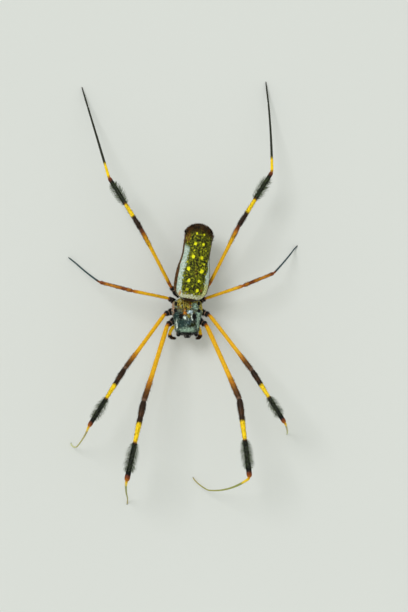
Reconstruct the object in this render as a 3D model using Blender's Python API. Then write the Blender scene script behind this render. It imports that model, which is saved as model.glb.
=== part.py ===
"""Golden silk orb weaver, an adult female at life size, as one still model.

The spider rests on its eight feet on the floor, back up, with its head towards -Y. Every body
part is a closed solid of its own, and neighbours keep a small gap. Sizes are in millimetres.
"""
import math
import random

import bmesh
import bpy
from mathutils import Matrix, Vector

MM = 0.001
GAP = 0.3
SEED = 4302

# Body: the midline of the head and thorax, and heights above the floor
BODY_X = 0.3
CARAPACE_REAR_Y = -1.25
CARAPACE_FRONT_Y = -10.65
CARAPACE_BASE_Z = 7.45
CARAPACE_LIP = 0.25
CARAPACE_ROUND = (1.5, 1.2)
CARAPACE_SLOPE = (1.2, 1.6)
CARAPACE_ARCH = 0.85
STERNUM_FRONT_Y = -7.3
STERNUM_REAR_Y = -0.7
STERNUM_TOP_Z = 6.65
STERNUM_BOTTOM_Z = 4.7
STERNUM_ROUND = 0.8
STERNUM_ARCH = 0.6

# Abdomen: its front end, its bearing to the right of +Y, and its length
ABDOMEN_FRONT = Vector((0.42, -2.25))
ABDOMEN_BEARING = math.radians(9.4)
ABDOMEN_LENGTH = 19.4
ABDOMEN_FRONT_ROUND = 3.2
ABDOMEN_REAR_ROUND = 2.5
ABDOMEN_MID_Z = ((0.0, 11.1), (2.7, 10.8), (6.0, 10.5), (12.0, 9.9), (19.4, 9.4))
ABDOMEN_HALF_WIDTH = ((0.0, 3.9), (2.6, 4.25), (5.4, 4.35), (8.0, 4.15), (9.8, 3.75), (11.6, 3.5),
                      (13.8, 3.52), (16.9, 3.48), (19.4, 3.0))
ABDOMEN_RISE = ((0.0, 2.6), (2.7, 3.1), (6.0, 3.4), (12.0, 3.05), (16.5, 3.1), (19.4, 2.7))
ABDOMEN_DROP = ((0.0, 2.0), (2.7, 2.9), (6.0, 3.7), (12.0, 3.3), (16.5, 3.0), (19.4, 2.6))

# Carapace stations, measured forwards from its rear edge
CARAPACE_HALF_WIDTH = ((0.0, 3.2), (1.8, 3.75), (3.6, 3.92), (5.2, 3.5), (6.4, 3.2), (8.2, 3.1),
                       (9.4, 2.9))
CARAPACE_RISE = ((0.0, 0.5), (1.8, 1.5), (3.4, 2.15), (4.8, 2.15), (6.2, 2.75), (7.8, 2.85),
                 (9.4, 2.1))
STERNUM_HALF_WIDTH = ((0.0, 0.7), (1.2, 1.25), (3.0, 1.85), (4.6, 1.6), (5.8, 1.15), (6.6, 0.9))

# Bumps of the head: half spacing or middle, Y and Z, and half sizes
HEAD_TUBERCLE = (1.6, -6.75, 9.65)
HEAD_TUBERCLE_SIZE = (0.36, 0.36, 0.62)
SIDE_MOUND_SHIFT = (-0.2, 0.1, -0.05)
SIDE_MOUND_SIZE = (0.56, 0.65, 0.62)
MIDDLE_MOUND = (BODY_X, -10.65, 8.65)
MIDDLE_MOUND_SIZE = (1.0, 0.8, 0.85)

# Eyes: half spacing, place and radius, four in the middle and a pair at each side
EYE_RADIUS = 0.26
EYE_SEAT = 0.2
EYES = {"front_median": (0.45, -11.22, 8.25), "rear_median": (0.5, -10.85, 9.22),
        "front_lateral": (2.35, -10.8, 8.15), "rear_lateral": (2.52, -10.3, 8.68)}

# Waist: where it meets the abdomen, as a share of its length, and its radii
WAIST_SEAT = 0.135
WAIST_RADII = (0.45, 0.42, 0.38, 0.45, 0.45)

# Jaws and fangs: half spacing and Y of the top, then steps outwards, in Y and in Z, and radii
JAW_TOP = (1.2, -9.65)
JAW_ROUTE = ((0.0, 0.0, 0.0), (0.02, -0.12, -0.4), (0.0, -0.18, -1.2), (-0.05, -0.14, -2.1),
             (-0.1, 0.0, -2.9), (-0.12, 0.15, -3.3))
JAW_RADII = (0.6, 0.9, 1.0, 0.94, 0.72, 0.4)
FANG_ROUTE = ((0.3, -0.1, -2.85), (0.5, -0.15, -3.35), (0.15, -0.05, -3.8), (-0.45, 0.2, -3.95))
FANG_RADII = (0.3, 0.27, 0.2, 0.06)

# Mouth parts: the lip and a lobe on each side of it, behind the jaws
LIP = (BODY_X, STERNUM_FRONT_Y - GAP - 0.5, 5.55)
LIP_SIZE = (0.6, 0.48, 0.8)
LOBE_OUT = 0.75
LOBE = (BODY_X, STERNUM_FRONT_Y - GAP - 0.5, 5.6)
LOBE_SIZE = (0.62, 0.42, 0.95)

# Spinnerets: their seat on the abdomen, the low core, and three pairs of cones, each with its
# way behind and outwards and its size
SPINNERET_SEAT = 0.83
CORE_HEIGHTS = (0.0, 0.12, 0.6)
CORE_RADII = (1.0, 1.0, 0.75)
CONE_HEIGHT = 0.3
CONE_LENGTH = 1.35
CONE_RADII = (0.36, 0.34, 0.15)
CONES = ((-0.4, 0.45, 1.0), (0.45, 0.4, 0.9), (0.05, 0.2, 0.6))

# Palps: the root, how far each side's palp swings out, their way out, ahead and up from the root
# as shares of their length, and their radius
PALP_ROOT = (2.35, -8.4, 5.45)
PALP_SPREAD = {"left": 0.95, "right": 0.6}
PALP_ROUTE = (((0.0, 0.0), (0.2, 0.95), (0.45, 1.6), (0.7, 1.95), (0.88, 1.4), (1.0, 0.3)),
              ((0.0, 0.0), (0.2, 0.3), (0.45, 1.1), (0.7, 2.2), (0.88, 3.0), (1.0, 3.15)),
              ((0.0, 0.0), (0.2, 0.15), (0.45, 0.45), (0.7, 0.4), (0.88, -0.1), (1.0, -0.7)))
PALP_RADIUS = ((0.0, 0.42), (0.3, 0.48), (0.5, 0.42), (0.62, 0.46), (0.75, 0.44), (1.0, 0.26))
PALP_STEPS = 10

# Sides of the body: -1 is the left one in a view from the camera
SIDES = {"left": -1, "right": 1}

# Leg joints of the pose: femur base, knee, shin end, a point of the metatarsus's bow, ankle, foot
LEG_POSE = {
    "leg_1_left": ((-4.6, -8.2, 7.0), (-11.1, -26.9, 16.4), (-15.7, -46.4, 21.9),
                   (-15.3, -48.9, 13.0), (-14.5, -51.4, 4.6), (-14.3, -53.6, 0.15)),
    "leg_1_right": ((5.2, -8.2, 7.0), (12.7, -26.5, 15.6), (14.7, -45.7, 20.9),
                    (10.6, -49.0, 10.4), (5.9, -49.9, 3.0), (2.4, -46.8, 0.15)),
    "leg_2_left": ((-5.3, -5.5, 7.0), (-15.7, -18.9, 14.5), (-24.9, -33.1, 19.4),
                   (-25.6, -35.8, 11.5), (-27.1, -38.7, 4.2), (-28.5, -38.0, 0.15)),
    "leg_2_right": ((6.0, -5.7, 7.0), (15.9, -19.4, 14.5), (23.6, -32.4, 19.9),
                    (24.9, -33.8, 12.0), (26.0, -35.1, 4.4), (26.4, -36.1, 0.15)),
    "leg_3_left": ((-4.3, -1.5, 7.0), (-13.5, 0.3, 11.5), (-21.7, 2.5, 9.4),
                   (-24.6, 4.8, 6.0), (-27.1, 7.1, 2.7), (-29.1, 8.8, 0.15)),
    "leg_3_right": ((5.1, -1.5, 7.0), (14.0, 1.6, 11.5), (22.0, 4.8, 9.4),
                    (24.8, 7.5, 6.0), (27.2, 10.0, 2.7), (29.1, 11.9, 0.15)),
    "leg_4_left": ((-3.7, 1.4, 6.8), (-11.5, 15.4, 13.6), (-19.4, 28.5, 10.4),
                   (-21.9, 37.8, 6.2), (-24.3, 46.6, 2.4), (-25.7, 51.8, 0.15)),
    "leg_4_right": ((5.8, 1.7, 6.8), (12.6, 16.3, 13.6), (21.4, 30.1, 10.4),
                    (21.6, 39.1, 6.2), (21.4, 47.9, 2.4), (21.0, 53.5, 0.15)),
}
# Inner end of each coxa: distance out from the midline, then Y and Z
COXA_ROOT = {1: (1.95, -6.35, 5.75), 2: (2.3, -4.35, 5.7), 3: (2.25, -2.75, 5.7),
             4: (1.65, -1.2, 5.7)}
LEG_PARTS = ("coxa", "femur", "tibia", "metatarsus", "tarsus")
# Points of each part between its turned ends, and how finely its section is rounded
LEG_PART_POINTS = {"coxa": 4, "femur": 3, "tibia": 9, "metatarsus": 3, "tarsus": 3}
LEG_PART_ROUNDING = {"coxa": 2, "femur": 2, "tibia": 2, "metatarsus": 1, "tarsus": 1}
# Radii of each leg's femur, patella, tibia, shin knob, metatarsus base and metatarsus end
LEG_RADII = {1: (0.59, 0.74, 0.55, 0.76, 0.38, 0.27), 2: (0.5, 0.62, 0.48, 0.62, 0.36, 0.27),
             3: (0.4, 0.46, 0.38, 0.44, 0.3, 0.26), 4: (0.45, 0.58, 0.46, 0.58, 0.4, 0.27)}
COXA_RADIUS = {1: 0.95, 2: 0.9, 3: 0.75, 4: 0.8}
COXA_ROOT_RADIUS = 0.62
COXA_SHAPE = ((0.2, 0.85), (0.42, 1.0), (0.62, 0.8), (0.72, 0.7), (0.82, 0.84))
FEMUR_BOW = 0.5
SHIN_BOW = 0.25
COXA_SAG = 0.45
FOOT_RADIUS = 0.3
FOOT_TIP_RADIUS = 0.24
FOOT_RUN = 1.4
HEEL_LIFT = 0.28
HEEL_SWING = 1.1
# A segment's end: the straight stub behind its flat face, and how soon it meets its own line
END_STUB = 0.12
END_REACH = 0.65
FOOT_REACH = 0.32
TURN_REACH = 1.6

# Brush of bristles on the shins of legs 1, 2 and 4: its start and end as shares of the shin,
# its rows of locks, the locks in a row and their length
BRUSH = {1: (0.545, 0.88, 7, 5, 1.9), 2: (0.52, 0.87, 6, 4, 1.65), 4: (0.5, 0.87, 6, 4, 1.6)}
# Sections of a lock: share of its length, width and thickness
LOCK_SECTIONS = ((0.0, 1.0, 0.6), (0.55, 0.92, 0.52))
LOCK_SINK = 0.45
LOCK_LEAN = math.radians(58)
LOCK_LEAN_TIP = math.radians(24)
LOCK_CLEARANCE = 0.85
LOCK_STRAY = 0.12
LINE_STEPS = 12

COLOURS = {
    "carapace_shell": ((0.33, 0.35, 0.33), 0.5), "sternum_shell": ((0.1, 0.07, 0.04), 0.45),
    "abdomen_skin": ((0.2, 0.22, 0.03), 0.45), "spinneret_brown": ((0.09, 0.05, 0.03), 0.5),
    "jaw_black": ((0.02, 0.017, 0.015), 0.25), "palp_yellow": ((0.75, 0.5, 0.05), 0.4),
    "mouth_brown": ((0.12, 0.08, 0.05), 0.4), "eye_black": ((0.01, 0.01, 0.012), 0.08),
    "leg_coxa": ((0.06, 0.045, 0.04), 0.4), "leg_femur": ((0.72, 0.42, 0.04), 0.35),
    "leg_tibia": ((0.12, 0.08, 0.03), 0.5), "leg_metatarsus": ((0.25, 0.18, 0.05), 0.4),
    "leg_tarsus": ((0.12, 0.1, 0.06), 0.4),
}


def clear_scene():
    """Start from an empty scene."""
    for thing in list(bpy.data.objects):
        bpy.data.objects.remove(thing, do_unlink=True)


def make_collection(name):
    """A new collection in the scene."""
    collection = bpy.data.collections.new(name)
    bpy.context.scene.collection.children.link(collection)
    return collection


def make_material(name):
    """A plain material with the slot's colour and roughness."""
    colour, roughness = COLOURS[name]
    material = bpy.data.materials.new(name)
    material.use_nodes = True
    shader = material.node_tree.nodes["Principled BSDF"]
    shader.inputs["Base Color"].default_value = (*colour, 1.0)
    shader.inputs["Roughness"].default_value = roughness
    shader.inputs["Metallic"].default_value = 0.0
    return material


def smooth_value(stations, place):
    """Value at a place on a smooth line through (place, value) stations."""
    count = len(stations)
    index = max(i for i in range(count - 1) if stations[i][0] <= max(place, stations[0][0]))
    near = stations[index]
    far = stations[index + 1]
    before = stations[max(index - 1, 0)]
    after = stations[min(index + 2, count - 1)]
    share = min(max((place - near[0]) / (far[0] - near[0]), 0.0), 1.0)
    slope_near = (far[1] - before[1]) / (far[0] - before[0]) * (far[0] - near[0])
    slope_far = (after[1] - near[1]) / (after[0] - near[0]) * (far[0] - near[0])
    cube = share ** 3
    square = share ** 2
    return ((2 * cube - 3 * square + 1) * near[1] + (cube - 2 * square + share) * slope_near
            + (3 * square - 2 * cube) * far[1] + (cube - square) * slope_far)


def end_round(place, length, near_radius, far_radius):
    """Share of the full section that is left near the two rounded ends."""
    share = 1.0
    if place < near_radius:
        share = math.sqrt(max(1.0 - (1.0 - place / near_radius) ** 2, 0.0))
    if length - place < far_radius:
        share = min(share, math.sqrt(max(1.0 - (1.0 - (length - place) / far_radius) ** 2, 0.0)))
    return share


def turn_outwards(bm):
    """Make every face point out of a closed mesh."""
    bmesh.ops.recalc_face_normals(bm, faces=bm.faces)
    if bm.calc_volume(signed=True) < 0:
        bmesh.ops.reverse_faces(bm, faces=bm.faces)


def link_mesh(name, bm, material, collection):
    """Turn a finished bmesh into an object of the collection."""
    turn_outwards(bm)
    mesh = bpy.data.meshes.new(name)
    bm.to_mesh(mesh)
    bm.free()
    mesh.shade_smooth()
    thing = bpy.data.objects.new(name, mesh)
    if material:
        mesh.materials.append(material)
    collection.objects.link(thing)
    return thing


def shaped_body(name, material, collection, around, rings, place_point):
    """A ball whose poles are its two ends, with every point placed by its share and angle."""
    bm = bmesh.new()
    bmesh.ops.create_uvsphere(bm, u_segments=around, v_segments=rings, radius=1.0)
    for vertex in bm.verts:
        share = (1.0 - min(max(vertex.co.z, -1.0), 1.0)) / 2.0
        angle = math.atan2(vertex.co.y, vertex.co.x)
        vertex.co = Vector(place_point(share, angle)) * MM
    return link_mesh(name, bm, material, collection)


def ball(name, material, collection, centre, radii, around, rings):
    """A ball with its own half size along each axis."""
    bm = bmesh.new()
    matrix = Matrix.Translation(Vector(centre) * MM) @ Matrix.Diagonal((*(Vector(radii) * MM), 1.0))
    bmesh.ops.create_uvsphere(bm, u_segments=around, v_segments=rings, radius=1.0, matrix=matrix)
    return link_mesh(name, bm, material, collection)


def limb(name, material, collection, points, radii, sides_step=2):
    """A tube of round section along the points, with a radius at each one."""
    curve = bpy.data.curves.new(name, "CURVE")
    curve.dimensions = "3D"
    curve.bevel_depth = MM
    curve.bevel_resolution = sides_step
    curve.use_fill_caps = True
    spline = curve.splines.new("POLY")
    spline.points.add(len(points) - 1)
    for node, point, radius in zip(spline.points, points, radii):
        node.co = (*(Vector(point) * MM), 1.0)
        node.radius = radius
    curve.materials.append(material)
    thing = bpy.data.objects.new(name, curve)
    collection.objects.link(thing)
    return thing


def curve_to_mesh(thing, collection):
    """Swap a curve object for a mesh object of the same shape, its caps welded."""
    graph = bpy.context.evaluated_depsgraph_get()
    mesh = bpy.data.meshes.new_from_object(thing.evaluated_get(graph))
    bm = bmesh.new()
    bm.from_mesh(mesh)
    bmesh.ops.remove_doubles(bm, verts=bm.verts, dist=0.00001)
    turn_outwards(bm)
    bm.to_mesh(mesh)
    bm.free()
    mesh.shade_smooth()
    solid = bpy.data.objects.new("solid", mesh)
    solid.matrix_world = thing.matrix_world
    name = thing.name
    bpy.data.objects.remove(thing, do_unlink=True)
    solid.name = name
    collection.objects.link(solid)
    return solid


def island_volume(faces):
    """Volume inside a closed set of faces."""
    total = 0.0
    for face in faces:
        corners = [vertex.co for vertex in face.verts]
        for index in range(1, len(corners) - 1):
            total += corners[0].dot(corners[index].cross(corners[index + 1])) / 6.0
    return abs(total)


def keep_largest(mesh):
    """Leave only the mesh's largest closed surface."""
    bm = bmesh.new()
    bm.from_mesh(mesh)
    unseen = set(bm.faces)
    islands = []
    while unseen:
        front = [unseen.pop()]
        island = list(front)
        while front:
            face = front.pop()
            for edge in face.edges:
                for other in edge.link_faces:
                    if other in unseen:
                        unseen.remove(other)
                        island.append(other)
                        front.append(other)
        islands.append(island)
    islands.sort(key=island_volume, reverse=True)
    for island in islands[1:]:
        bmesh.ops.delete(bm, geom=island, context="FACES")
    bmesh.ops.triangulate(bm, faces=bm.faces)
    bm.to_mesh(mesh)
    bm.free()


def join_pieces(target, pieces, solver="EXACT"):
    """Fuse the pieces into the target and remove them."""
    group = make_collection("pieces_of_" + target.name)
    for piece in pieces:
        for owner in list(piece.users_collection):
            owner.objects.unlink(piece)
        group.objects.link(piece)
    union = target.modifiers.new("join", "BOOLEAN")
    union.operation = "UNION"
    union.operand_type = "COLLECTION"
    union.collection = group
    union.solver = solver
    graph = bpy.context.evaluated_depsgraph_get()
    mesh = bpy.data.meshes.new_from_object(target.evaluated_get(graph))
    target.modifiers.clear()
    target.data = mesh
    for piece in pieces:
        bpy.data.objects.remove(piece, do_unlink=True)
    bpy.data.collections.remove(group)
    keep_largest(mesh)
    return target


def abdomen_point(share, angle):
    """Point of the abdomen's skin: share runs from its front end to its rear end."""
    along = share * ABDOMEN_LENGTH
    left = end_round(along, ABDOMEN_LENGTH, ABDOMEN_FRONT_ROUND, ABDOMEN_REAR_ROUND)
    side = math.cos(angle) * smooth_value(ABDOMEN_HALF_WIDTH, along) * left
    height = smooth_value(ABDOMEN_RISE if math.sin(angle) > 0 else ABDOMEN_DROP, along)
    x = ABDOMEN_FRONT.x + along * math.sin(ABDOMEN_BEARING) + side * math.cos(ABDOMEN_BEARING)
    y = ABDOMEN_FRONT.y + along * math.cos(ABDOMEN_BEARING) - side * math.sin(ABDOMEN_BEARING)
    return x, y, smooth_value(ABDOMEN_MID_Z, along) + math.sin(angle) * height * left


def carapace_point(share, angle):
    """Point of the carapace: share runs from its rear edge to its front edge."""
    length = CARAPACE_REAR_Y - CARAPACE_FRONT_Y
    along = share * length
    left = end_round(along, length, *CARAPACE_ROUND)
    side = math.cos(angle) * smooth_value(CARAPACE_HALF_WIDTH, along) * left
    rise = smooth_value(CARAPACE_RISE, along) * end_round(along, length, *CARAPACE_SLOPE)
    lift = abs(math.sin(angle)) ** CARAPACE_ARCH
    height = lift * rise if math.sin(angle) > 0 else -lift * CARAPACE_LIP * left
    return BODY_X + side, CARAPACE_REAR_Y - along, CARAPACE_BASE_Z + height


def sternum_point(share, angle):
    """Point of the plate between the coxae: share runs from its rear to its front."""
    length = STERNUM_REAR_Y - STERNUM_FRONT_Y
    along = share * length
    left = end_round(along, length, STERNUM_ROUND, STERNUM_ROUND)
    side = math.copysign(abs(math.cos(angle)) ** STERNUM_ARCH, math.cos(angle))
    lift = math.copysign(abs(math.sin(angle)) ** STERNUM_ARCH, math.sin(angle))
    half = (STERNUM_TOP_Z - STERNUM_BOTTOM_Z) / 2
    width = smooth_value(STERNUM_HALF_WIDTH, along)
    return (BODY_X + side * width * left, STERNUM_REAR_Y - along,
            STERNUM_BOTTOM_Z + half + lift * half * left)


def at_side(side, out, y, z):
    """A point a distance out from the midline, on one side of the body."""
    return Vector((BODY_X + side * out, y, z))


def make_carapace(collection, cutters):
    """The shield over head and thorax with its bumps and eye sockets."""
    shell = shaped_body("carapace", make_material("carapace_shell"), collection, 20, 14,
                        carapace_point)
    bumps = [ball("bump", None, collection, MIDDLE_MOUND, MIDDLE_MOUND_SIZE, 10, 6)]
    for side in SIDES.values():
        bumps.append(ball("bump", None, collection, at_side(side, *HEAD_TUBERCLE),
                          HEAD_TUBERCLE_SIZE, 6, 4))
        out, y, z = SIDE_MOUND_SHIFT
        between = (at_side(side, *EYES["front_lateral"]) + at_side(side, *EYES["rear_lateral"])) / 2
        bumps.append(ball("bump", None, collection, between + Vector((side * out, y, z)),
                          SIDE_MOUND_SIZE, 8, 6))
    join_pieces(shell, bumps)
    cut = shell.modifiers.new("eye sockets", "BOOLEAN")
    cut.operation = "DIFFERENCE"
    cut.operand_type = "COLLECTION"
    cut.collection = cutters
    return shell


def make_eyes(collection, cutters):
    """The eight eyes and the larger balls that cut their sockets."""
    material = make_material("eye_black")
    for kind, place in EYES.items():
        for side_name, side in SIDES.items():
            centre = at_side(side, *place)
            ball(f"eye_{kind}_{side_name}", material, collection, centre, [EYE_RADIUS] * 3, 8, 5)
            socket = ball(f"socket_{kind}_{side_name}", None, cutters, centre,
                          [EYE_RADIUS + EYE_SEAT] * 3, 7, 5)
            socket.hide_render = True
            socket.display_type = "WIRE"


def abdomen_seat(share, angle, gap):
    """Point a gap off the abdomen's skin, and the way out of the skin there."""
    here = Vector(abdomen_point(share, angle))
    along = Vector(abdomen_point(share + 0.01, angle)) - Vector(abdomen_point(share - 0.01, angle))
    around = Vector(abdomen_point(share, angle + 0.05)) - Vector(abdomen_point(share, angle - 0.05))
    way = around.cross(along).normalized()
    if way.z * math.sin(angle) < 0:
        way = -way
    return here + way * gap, way


def make_pedicel(collection):
    """The thin waist between the carapace and the abdomen."""
    start = Vector((BODY_X, CARAPACE_REAR_Y + GAP, CARAPACE_BASE_Z))
    end, way = abdomen_seat(WAIST_SEAT, -math.pi / 2, GAP)
    points = [start, start + Vector((0.0, 0.25, -0.02)), end + way * 0.45 - Vector((0, 0.1, 0)),
              end + way * 0.12, end]
    limb("pedicel", make_material("sternum_shell"), collection, points, WAIST_RADII, 3)


def make_jaws(collection):
    """Both jaws, each with its folded fang."""
    material = make_material("jaw_black")
    for side_name, side in SIDES.items():
        top = at_side(side, *JAW_TOP, CARAPACE_BASE_Z - CARAPACE_LIP - GAP)
        jaw_points = [top + Vector((side * out, y, z)) for out, y, z in JAW_ROUTE]
        fang_points = [top + Vector((side * out, y, z)) for out, y, z in FANG_ROUTE]
        jaw = limb(f"chelicera_{side_name}", material, collection, jaw_points, JAW_RADII, 4)
        fang = limb("fang", material, collection, fang_points, FANG_RADII, 1)
        join_pieces(curve_to_mesh(jaw, collection), [curve_to_mesh(fang, collection)])


def make_mouthparts(collection):
    """The lip and the two jaw lobes beside it, behind the jaws."""
    lip = ball("mouthparts", make_material("mouth_brown"), collection, LIP, LIP_SIZE, 10, 6)
    lobes = [ball("lobe", None, collection, Vector(LOBE) + Vector((side * LOBE_OUT, 0.0, 0.0)),
                  LOBE_SIZE, 10, 6) for side in SIDES.values()]
    join_pieces(lip, lobes)


def make_palps(collection):
    """The two short feelers beside the jaws, whose ends curl inwards."""
    material = make_material("palp_yellow")
    shares = [index / PALP_STEPS for index in range(PALP_STEPS + 1)]
    radii = [smooth_value(PALP_RADIUS, share) for share in shares]
    for side_name, side in SIDES.items():
        root = at_side(side, *PALP_ROOT)
        points = []
        for share in shares:
            out, ahead, rise = (smooth_value(stations, share) for stations in PALP_ROUTE)
            out *= PALP_SPREAD[side_name]
            points.append(root + Vector((side * out, -ahead, rise)))
        limb(f"palp_{side_name}", material, collection, points, radii)


def make_abdomen(collection):
    """The long abdomen as one closed body."""
    shaped_body("abdomen", make_material("abdomen_skin"), collection, 20, 16, abdomen_point)


def make_spinnerets(collection):
    """Six short cones in a ring under the abdomen's rear."""
    material = make_material("spinneret_brown")
    base, way = abdomen_seat(SPINNERET_SEAT, -math.pi / 2, GAP)
    core = limb("spinnerets", material, collection, [base + way * height for height in CORE_HEIGHTS],
                CORE_RADII, 4)
    core = curve_to_mesh(core, collection)
    cones = []
    for behind, out, size in CONES:
        for side in SIDES.values():
            root = base + way * CONE_HEIGHT + Vector((side * out, behind, 0.0))
            tip = root + Vector((side * 0.1, 0.5 + behind * 0.6, -CONE_LENGTH * size))
            cone = limb("cone", material, collection, [root, (root + tip) / 2, tip],
                        [radius * size for radius in CONE_RADII], 1)
            cones.append(curve_to_mesh(cone, collection))
    join_pieces(core, cones)


def bend_point(line, share):
    """Point at a share of a bent line, given as its start, its pull point and its end."""
    start, pull, end = line
    return start * (1 - share) ** 2 + pull * (2 * share * (1 - share)) + end * share ** 2


def start_way(line):
    """Way in which a bent line starts."""
    return (line[1] - line[0]).normalized()


def end_way(line):
    """Way in which a bent line ends."""
    return (line[2] - line[1]).normalized()


def share_at(line, distance):
    """Share of a bent line at which it is a distance away from its start."""
    low = 0.0
    high = 1.0
    for _ in range(20):
        middle = (low + high) / 2
        if (bend_point(line, middle) - line[0]).length < distance:
            low = middle
        else:
            high = middle
    return low


def leg_joint(before, after, thickness):
    """Where two bent lines meet: its corner, the middle of its gap, its axis and its reach."""
    way_in = end_way(before)
    way_out = start_way(after)
    axis = (way_in + way_out).normalized()
    reach = END_REACH + thickness * axis.angle(way_in) * TURN_REACH
    return after[0], after[0] + (way_out - way_in) * reach / 4, axis, reach


def turned_end(line, joint, sense):
    """Points from a joint's flat face, square to its axis, round onto the segment's own line."""
    corner, seat, axis, reach = joint
    axis = axis * sense
    bend = axis.angle(start_way(line))
    steps = 1 if bend < math.radians(12) else 2 if bend < math.radians(30) else 3
    share = share_at(line, reach)
    face = seat + axis * (GAP / 2)
    stub = face + axis * END_STUB
    turn = (stub, corner + start_way(line) * (reach / 2), bend_point(line, share))
    return [face, stub] + [bend_point(turn, step / steps) for step in range(1, steps + 1)], share


def segment_points(line, joints, count):
    """Centre line of one leg segment between the flat faces of its two joints."""
    head, share_in = turned_end(line, joints[0], 1)
    tail, share_out = turned_end(line[::-1], joints[1], -1)
    points = head
    for index in range(1, count + 1):
        share = share_in + (1 - share_out - share_in) * index / (count + 1)
        points.append(bend_point(line, share))
    return points + tail[::-1]


def segment(name, material, collection, line, joints, stations, count, sides_step):
    """One leg segment, its radius read from stations along its length."""
    points = segment_points(line, joints, count)
    lengths = [0.0]
    for near, far in zip(points, points[1:]):
        lengths.append(lengths[-1] + (far - near).length)
    radii = [smooth_value(stations, length / lengths[-1]) for length in lengths]
    return limb(name, material, collection, points, radii, sides_step)


def flatten_foot(mesh):
    """Cut the mesh off at the floor and close the cut, which leaves a small flat."""
    bm = bmesh.new()
    bm.from_mesh(mesh)
    geometry = bm.verts[:] + bm.edges[:] + bm.faces[:]
    cut = bmesh.ops.bisect_plane(bm, geom=geometry, plane_co=(0, 0, 0), plane_no=(0, 0, 1),
                                 clear_inner=True, dist=0.000001)
    edges = [item for item in cut["geom_cut"] if isinstance(item, bmesh.types.BMEdge)]
    bmesh.ops.holes_fill(bm, edges=edges, sides=0)
    for vertex in bm.verts:
        vertex.co.z = max(vertex.co.z, 0.0)
    bmesh.ops.triangulate(bm, faces=bm.faces)
    turn_outwards(bm)
    bm.to_mesh(mesh)
    bm.free()


def leg_lines(name):
    """The bent centre lines of a leg's coxa, femur, tibia, metatarsus and tarsus."""
    number = int(name[4])
    side = SIDES[name[6:]]
    base, knee, shin, bow, ankle, foot = (Vector(joint) for joint in LEG_POSE[name])
    out, y, z = COXA_ROOT[number]
    root = Vector((BODY_X + side * out, y, z))
    up = Vector((0.0, 0.0, 1.0))
    flat = Vector((1.0, 1.0, 0.0))
    pull = bow * 2 - (shin + ankle) / 2
    way = (foot - ankle) * flat
    run = min(FOOT_RUN, way.length * 0.6)
    way.normalize()
    ahead = ((ankle - pull) * flat).normalized()
    aside = (ahead - way * ahead.dot(way)) * HEEL_SWING
    heel = foot - way * run + aside + up * (HEEL_LIFT / run)
    return ((root, (root + base) / 2 - up * COXA_SAG, base),
            (base, (base + knee) / 2 + up * FEMUR_BOW * 2, knee),
            (knee, (knee + shin) / 2 + up * SHIN_BOW * 2, shin),
            (shin, pull, ankle),
            (ankle, heel, foot))


def leg_stations(number):
    """Radii of a leg's parts by share of their length."""
    femur, patella, tibia, knob, metatarsus, toe = LEG_RADII[number]
    coxa = tuple((share, COXA_RADIUS[number] * factor) for share, factor in COXA_SHAPE)
    return {
        "coxa": ((0.0, COXA_ROOT_RADIUS), *coxa, (1.0, femur)),
        "femur": ((0.0, femur * 0.92), (0.1, femur), (0.5, femur * 0.97), (0.88, (femur + patella) / 2),
                  (0.97, patella * 0.9), (1.0, patella * 0.85)),
        "tibia": ((0.0, patella * 0.85), (0.06, patella), (0.15, patella * 0.95),
                  (0.2, patella * 0.8), (0.26, patella * 0.93), (0.4, tibia * 1.08),
                  (0.5, tibia), (0.9, tibia * 1.05), (0.96, knob), (1.0, knob * 0.8)),
        "metatarsus": ((0.0, metatarsus), (0.1, metatarsus * 0.9), (1.0, toe)),
        "tarsus": ((0.0, toe), (0.8, toe), (0.9, FOOT_RADIUS), (1.0, FOOT_TIP_RADIUS)),
    }


def make_leg(name, materials, collection):
    """One leg: its five parts, its brush and its flat foot."""
    number = int(name[4])
    femur, patella, tibia, knob, metatarsus, toe = LEG_RADII[number]
    stations = leg_stations(number)
    lines = leg_lines(name)
    joints = [(lines[0][0], lines[0][0], start_way(lines[0]), END_REACH)]
    for before, after, thickness in zip(lines, lines[1:], (femur, patella, knob, toe)):
        joints.append(leg_joint(before, after, thickness))
    joints.append((lines[-1][2], lines[-1][2], end_way(lines[-1]), FOOT_REACH))
    for index, part in enumerate(LEG_PARTS):
        piece = segment(f"{name}_{part}", materials["leg_" + part], collection, lines[index],
                        joints[index:index + 2], stations[part], LEG_PART_POINTS[part],
                        LEG_PART_ROUNDING[part])
        if part == "tibia" and number in BRUSH:
            make_brush(piece, number, lines[index], lines[index + 1], collection)
        if part == "tarsus":
            flatten_foot(curve_to_mesh(piece, collection).data)


def grow_cap(bm, corners, keep):
    """Extrude the face between the corners, and keep that face only where it is an end cap."""
    cap = [face for face in bm.faces if set(face.verts) == set(corners)]
    grown = bmesh.ops.extrude_face_region(bm, geom=cap)
    if not keep:
        bmesh.ops.delete(bm, geom=cap, context="FACES_ONLY")
    return [item for item in grown["geom"] if isinstance(item, bmesh.types.BMVert)]


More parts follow.
